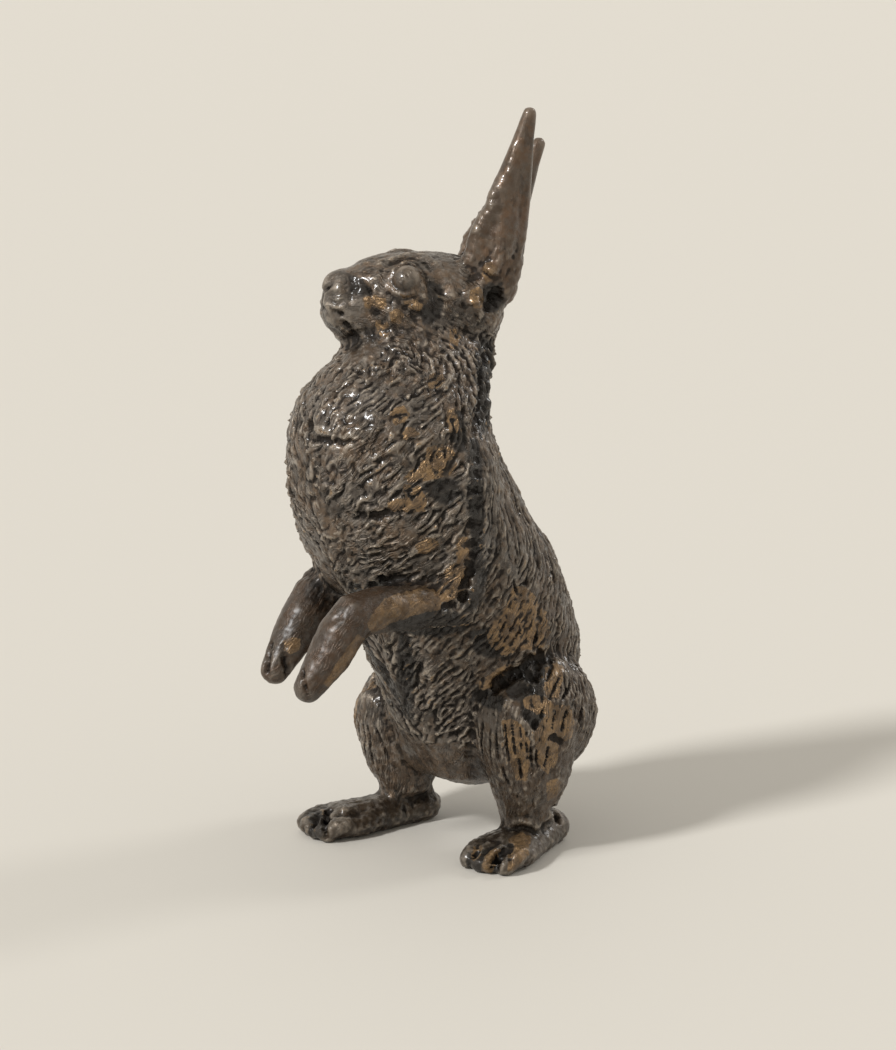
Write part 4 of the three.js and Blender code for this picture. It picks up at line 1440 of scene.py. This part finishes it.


# Patina: brown and grey mottling with dark grooves, worn golden where hands and ridges rub, with painted
# shade in the creases, under the limbs and on the left haunch, and a painted sheen on the crests
def makePatinaGroup():
    colour, number = 'NodeSocketColor', 'NodeSocketFloat'
    tree, given, made = newTree("patinaAndWear", [
        ("Brown", colour, (0.06, 0.045, 0.032, 1)),
        ("Grey", colour, (0.075, 0.068, 0.06, 1)),
        ("Dark", colour, (0.026, 0.018, 0.012, 1)),
        # The near-black of the patina in the grooves, also used for the painted shade of the creases
        ("Groove And Shade", colour, (0.007, 0.005, 0.0035, 1)),
        ("Gold", colour, (0.27, 0.172, 0.085, 1)),
        ("Deep Gold", colour, (0.1, 0.062, 0.032, 1)),
        # The pale of light dust, also used for the painted sheen on the crests
        ("Pale Dust And Sheen", colour, (0.3, 0.255, 0.205, 1)),
        ("Umber And Shade", colour, (0.045, 0.026, 0.013, 1)),
        ("Wear", number, 1),
        ("Flecks", number, 0.3),
        ("Dusting", number, 0.3),
        ("Patches", number, 0.75),
        ("Crest Rub And Sheen", number, 0.6),
        ("Streaks", number, 0.4),
    ], [("Color", colour), ("Metallic", number), ("Roughness", number), ("Coat", number), ("Worn", number)])
    size, share = patinaNoise, patinaShares
    groove, ridge = attribute(tree, "hollow"), attribute(tree, "crest")
    worn, tone, grimeAndShade = attribute(tree, "worn"), attribute(tree, "tone"), attribute(tree, "grimeAndShade")
    broad = noise(tree, *size["broad"])
    fine = noise(tree, *size["fine"])
    grain = noise(tree, *size["grain"])
    mottle = plus(tree, times(tree, broad, share["broad"]), times(tree, fine, share["fine"]))
    base = mixed(tree, stepped(tree, mottle, "mottle"), given["Brown"], given["Grey"])
    # Each lock has a tone of its own, and dark patches a few millimetres wide lie over them
    base = mixed(tree, stepped(tree, tone, "lockTone"), base, given["Dark"])
    patches = times(tree, noise(tree, *size["patches"]), share["patches"])
    patches = plus(tree, patches, times(tree, fine, share["patchFine"]))
    patches = times(tree, stepped(tree, patches, "patches"), given["Patches"])
    base = mixed(tree, patches, base, given["Dark"])
    # The rabbit's left leg and flank are painted browner and darker: partly a darker patina, partly painted
    # shade of the lower body
    gap = tree.nodes.new('ShaderNodeVectorMath')
    gap.operation = 'DISTANCE'
    put(tree, gap.inputs[0], objectPlace(tree))
    gap.inputs[1].default_value = umberShadeMiddle
    base = mixed(tree, stepped(tree, gap.outputs['Value'], "umberAndShade"), base, given["Umber And Shade"])
    # Hair lines run along each lock
    bend = times(tree, noise(tree, *size["hairs"]), hairLines["wander"])
    bend = plus(tree, attribute(tree, "across"), bend)
    turn = times(tree, bend, 2 * math.pi / hairLines["patinaWidth"])
    turn = plus(tree, turn, times(tree, tone, hairLines["shift"]))
    streak = times(tree, stepped(tree, sums(tree, 'SINE', turn), "hairs"), given["Streaks"])
    streak = times(tree, streak, stepped(tree, fine, "hairBreaks"))
    base = mixed(tree, streak, base, given["Dark"])
    # The crests are painted paler: partly patina rubbed off, partly a painted sheen
    breaks = stepped(tree, noise(tree, *size["rubbed"]), "crestBreaks")
    paleRubAndSheen = times(tree, stepped(tree, ridge, "crests"), breaks)
    base = mixed(tree, times(tree, paleRubAndSheen, given["Crest Rub And Sheen"]), base, given["Pale Dust And Sheen"])
    # Fine specks of light dust lie on what isn't rubbed
    dusty = times(tree, stepped(tree, fine, "dust"), given["Dusting"])
    dusty = times(tree, dusty, stepped(tree, grain, "dustGrain"))
    base = mixed(tree, dusty, base, given["Pale Dust And Sheen"])
    # Painted shade: the creases and the traced dark patches, partly a black crust of patina, are darkened
    # nearly to black, a little less on the crests
    sootyAndShaded = plus(tree, grimeAndShade, times(tree, fine, share["sootAndShadeFine"]))
    sootyAndShaded = sums(tree, 'SUBTRACT', sootyAndShaded, times(tree, ridge, share["sootAndShadeRidge"]))
    sootyAndShaded = times(tree, stepped(tree, sootyAndShaded, "sootAndShade"), stepped(tree, grimeAndShade, "sootAndShadeEdge"))
    base = mixed(tree, sootyAndShaded, base, given["Groove And Shade"])
    # The golden patches have ragged borders, follow the ridges and leave the grooves dark
    rubbed = plus(tree, times(tree, worn, share["worn"]), times(tree, ridge, share["wornRidge"]))
    for uneven, amount in ((fine, share["wornFine"]), (tone, share["wornTone"])):
        rubbed = plus(tree, rubbed, times(tree, sums(tree, 'SUBTRACT', uneven, 0.5), amount))
    gold = times(tree, stepped(tree, rubbed, "gold"), stepped(tree, worn, "goldEdge"))
    # Small flecks of metal shine through on the highest ridges everywhere
    flecks = stepped(tree, noise(tree, *size["flecks"]), "flecks")
    flecks = times(tree, flecks, stepped(tree, ridge, "fleckRidges"))
    flecks = times(tree, flecks, given["Flecks"])
    gold = times(tree, sums(tree, 'MAXIMUM', gold, flecks), given["Wear"])
    gold = times(tree, gold, stepped(tree, groove, "goldGrooves"))
    deep = stepped(tree, noise(tree, *size["deepGold"]), "deepGold")
    goldTone = mixed(tree, deep, given["Gold"], given["Deep Gold"])
    goldTone = mixed(tree, stepped(tree, grain, "goldGrain"), goldTone, given["Brown"])
    goldTone = mixed(tree, times(tree, streak, share["goldHairs"]), goldTone, given["Dark"])
    base = mixed(tree, gold, base, goldTone)
    dark = times(tree, stepped(tree, groove, "grooves"), stepped(tree, broad, "grooveBreaks"))
    put(tree, made["Color"], mixed(tree, dark, base, given["Groove And Shade"]))
    put(tree, made["Worn"], gold)
    put(tree, made["Metallic"], stepped(tree, gold, "metal"))
    roughness = plus(tree, stepped(tree, fine, "roughness"), times(tree, dark, share["grooveRoughness"]))
    put(tree, made["Roughness"], roughness)
    put(tree, made["Coat"], times(tree, stepped(tree, fine, "coat"), sums(tree, 'SUBTRACT', 1, dark)))
    return tree


# Fine chasing: hair lines along the locks and the pitted skin of a small casting, as a height
def makeChasingGroup():
    number = 'NodeSocketFloat'
    tree, given, made = newTree("chasingMarks", [
        ("Hairs", number, 0.5),
        ("Hair Width", number, hairLines["reliefWidth"]),
        ("Pits", number, 0.4),
    ], [("Height", number)])
    across, tone = attribute(tree, "across"), attribute(tree, "tone")
    wobble = times(tree, noise(tree, *patinaNoise["hairs"]), hairLines["wander"])
    turn = sums(tree, 'DIVIDE', plus(tree, across, wobble), given["Hair Width"])
    turn = plus(tree, times(tree, turn, 2 * math.pi), times(tree, tone, hairLines["shift"]))
    hairs = times(tree, sums(tree, 'SINE', turn), given["Hairs"])
    hairs = times(tree, hairs, step(tree, noise(tree, *hairLines["breakNoise"]), *hairLines["breaks"]))
    pits = times(tree, noise(tree, *pitNoise["fine"]), pitNoise["fineShare"])
    pits = plus(tree, noise(tree, *pitNoise["coarse"]), pits)
    put(tree, made["Height"], plus(tree, hairs, times(tree, pits, given["Pits"])))
    return tree


patinaGroup = makePatinaGroup()
chasingGroup = makeChasingGroup()

# What each finish sets in the two groups, how high its relief is in millimetres, and how dull its coat is
patinaInputs = ("Brown", "Grey", "Wear", "Flecks", "Dusting", "Patches", "Crest Rub And Sheen", "Streaks")
chasingInputs = ("Hairs", "Pits")
finishes = {
    "patinaBronze": {
        "Brown": (0.125, 0.086, 0.056, 1), "Grey": (0.135, 0.115, 0.096, 1),
        "Wear": 1, "Flecks": 0.8, "Dusting": 0.3, "Patches": 0.7, "Crest Rub And Sheen": 0.9, "Streaks": 0.45,
        "Hairs": 0.5, "Pits": 0.5, "relief": 0.11, "coatRoughness": 0.16,
    },
    "earBronze": {
        "Brown": (0.1, 0.06, 0.035, 1), "Grey": (0.092, 0.064, 0.043, 1),
        "Wear": 0.7, "Flecks": 0.3, "Dusting": 0.1, "Patches": 0.25, "Crest Rub And Sheen": 0.3, "Streaks": 0.1,
        "Hairs": 0.1, "Pits": 0.2, "relief": 0.05, "coatRoughness": 0.14,
    },
    "pawBronze": {
        "Brown": (0.058, 0.034, 0.019, 1), "Grey": (0.05, 0.034, 0.022, 1),
        "Wear": 0.65, "Flecks": 0.2, "Dusting": 0.1, "Patches": 0.4, "Crest Rub And Sheen": 0.25, "Streaks": 0.3,
        "Hairs": 0.3, "Pits": 0.6, "relief": 0.07, "coatRoughness": 0.34,
    },
    "footBronze": {
        "Brown": (0.05, 0.033, 0.019, 1), "Grey": (0.064, 0.052, 0.038, 1),
        "Wear": 0.9, "Flecks": 0.4, "Dusting": 0.35, "Patches": 0.7, "Crest Rub And Sheen": 0.5, "Streaks": 0.3,
        "Hairs": 0.1, "Pits": 0.9, "relief": 0.1, "coatRoughness": 0.2,
    },
}
specularLevel = 0.25
finishOf = {
    "bronze": "patinaBronze",
    "bronze_ear": "earBronze",
    "bronze_paw": "pawBronze",
    "bronze_foot": "footBronze",
}


def makeBronze(name, finish):
    material = bpy.data.materials.new(name)
    material.use_nodes = True
    tree = material.node_tree
    shader = tree.nodes['Principled BSDF']
    patina = tree.nodes.new('ShaderNodeGroup')
    patina.node_tree = patinaGroup
    chasing = tree.nodes.new('ShaderNodeGroup')
    chasing.node_tree = chasingGroup
    for group, keys in ((patina, patinaInputs), (chasing, chasingInputs)):
        for key in keys:
            group.inputs[key].default_value = finish[key]
    bump = tree.nodes.new('ShaderNodeBump')
    bump.inputs['Strength'].default_value = 1
    bump.inputs['Distance'].default_value = finish["relief"] * mm
    put(tree, bump.inputs['Height'], chasing.outputs['Height'])
    put(tree, shader.inputs['Normal'], bump.outputs['Normal'])
    put(tree, shader.inputs['Base Color'], patina.outputs['Color'])
    put(tree, shader.inputs['Metallic'], patina.outputs['Metallic'])
    put(tree, shader.inputs['Roughness'], patina.outputs['Roughness'])
    put(tree, shader.inputs['Coat Weight'], patina.outputs['Coat'])
    shader.inputs['Specular IOR Level'].default_value = specularLevel
    shader.inputs['Coat Roughness'].default_value = finish["coatRoughness"]
    return material


brassLook = {
    "bright": (0.46, 0.3, 0.1, 1), "dull": (0.2, 0.12, 0.05, 1),
    "stains": (0.6, 4), "stainStep": (0.4, 0.65),
    "marks": (0.25, 2, 0.5, (1, 1, 6)), "roughness": (0.3, 0.7, 0.28, 0.48), "relief": 0.02,
}


# Drawn brass wire with turning marks round it
def makeBrass():
    material = bpy.data.materials.new("pinBrass")
    material.use_nodes = True
    tree = material.node_tree
    shader = tree.nodes['Principled BSDF']
    stains = step(tree, noise(tree, *brassLook["stains"]), *brassLook["stainStep"])
    marks = noise(tree, *brassLook["marks"])
    put(tree, shader.inputs['Base Color'], mixed(tree, stains, brassLook["bright"], brassLook["dull"]))
    put(tree, shader.inputs['Roughness'], step(tree, marks, *brassLook["roughness"]))
    shader.inputs['Metallic'].default_value = 1
    bump = tree.nodes.new('ShaderNodeBump')
    bump.inputs['Distance'].default_value = brassLook["relief"] * mm
    put(tree, bump.inputs['Height'], marks)
    put(tree, shader.inputs['Normal'], bump.outputs['Normal'])
    return material


bronzes = {name: makeBronze(name, finish) for name, finish in finishes.items()}
for name, piece in pieces.items():
    piece.data.materials.clear()
    piece.data.materials.append(bronzes[finishOf[slots.get(name, "bronze")]])
brass = makeBrass()
for name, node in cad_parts.items():
    if name.endswith("_pin"):
        for slot in node.material_slots:
            slot.material = brass
report("materials ready")

# The studio: a large pale floor in metres, a pale surround and two soft suns in watts per square metre
# A sun's way from the rabbit is to the right in the photograph, towards the camera, and up
studio = {
    "floorSize": 40,
    "floorColour": (0.62, 0.59, 0.53, 1),
    "floorRoughness": 0.7,
    "surround": (0.95, 0.92, 0.87, 1),
    "surroundStrength": 0.6,
    "backdrop": (0.8, 0.748, 0.665, 1),
    "key": {"from": (-0.75, 0.55, 0.75), "strength": 2.6, "angle": 9},
    "back": {"from": (0.8, -0.35, 0.6), "strength": 0.6, "angle": 14},
}
bpy.ops.object.select_all(action='DESELECT')
bpy.ops.mesh.primitive_plane_add(size=studio["floorSize"], location=(0, 0, 0))
floor = bpy.context.object
floor.name = "floor"
floorMaterial = bpy.data.materials.new("paleFloor")
floorMaterial.use_nodes = True
floorShader = floorMaterial.node_tree.nodes["Principled BSDF"]
floorShader.inputs["Base Color"].default_value = studio["floorColour"]
floorShader.inputs["Roughness"].default_value = studio["floorRoughness"]
floor.data.materials.append(floorMaterial)

# The surround lights the rabbit softly, and where it is seen or mirrored it is as pale as the lit floor
world = bpy.data.worlds.new("studio")
world.use_nodes = True
sky = world.node_tree
lightPath = sky.nodes.new('ShaderNodeLightPath').outputs
seenRay = sums(sky, 'MAXIMUM', lightPath['Is Camera Ray'], lightPath['Is Glossy Ray'])
seenRay = sums(sky, 'MAXIMUM', seenRay, lightPath['Is Transmission Ray'])
skyColour = mixed(sky, seenRay, studio["surround"], studio["backdrop"])
skyStrength = step(sky, seenRay, 0, 1, studio["surroundStrength"], 1)
put(sky, sky.nodes["Background"].inputs["Color"], skyColour)
put(sky, sky.nodes["Background"].inputs["Strength"], skyStrength)
bpy.context.scene.world = world


# Suns, so that the floor is lit evenly
def makeLamp(name):
    lamp = studio[name]
    data = bpy.data.lights.new(name, 'SUN')
    data.energy = lamp["strength"]
    data.angle = math.radians(lamp["angle"])
    light = bpy.data.objects.new(name, data)
    bpy.context.scene.collection.objects.link(light)
    toward = unit(backWay * (1, 1, 0))
    way = rightWay * lamp["from"][0] + toward * lamp["from"][1] + upward * lamp["from"][2]
    light.location = unit(way)
    light.rotation_mode = 'QUATERNION'
    light.rotation_quaternion = Vector(way).to_track_quat('Z', 'Y')


makeLamp("key")
makeLamp("back")
bpy.context.scene.view_settings.view_transform = 'Standard'
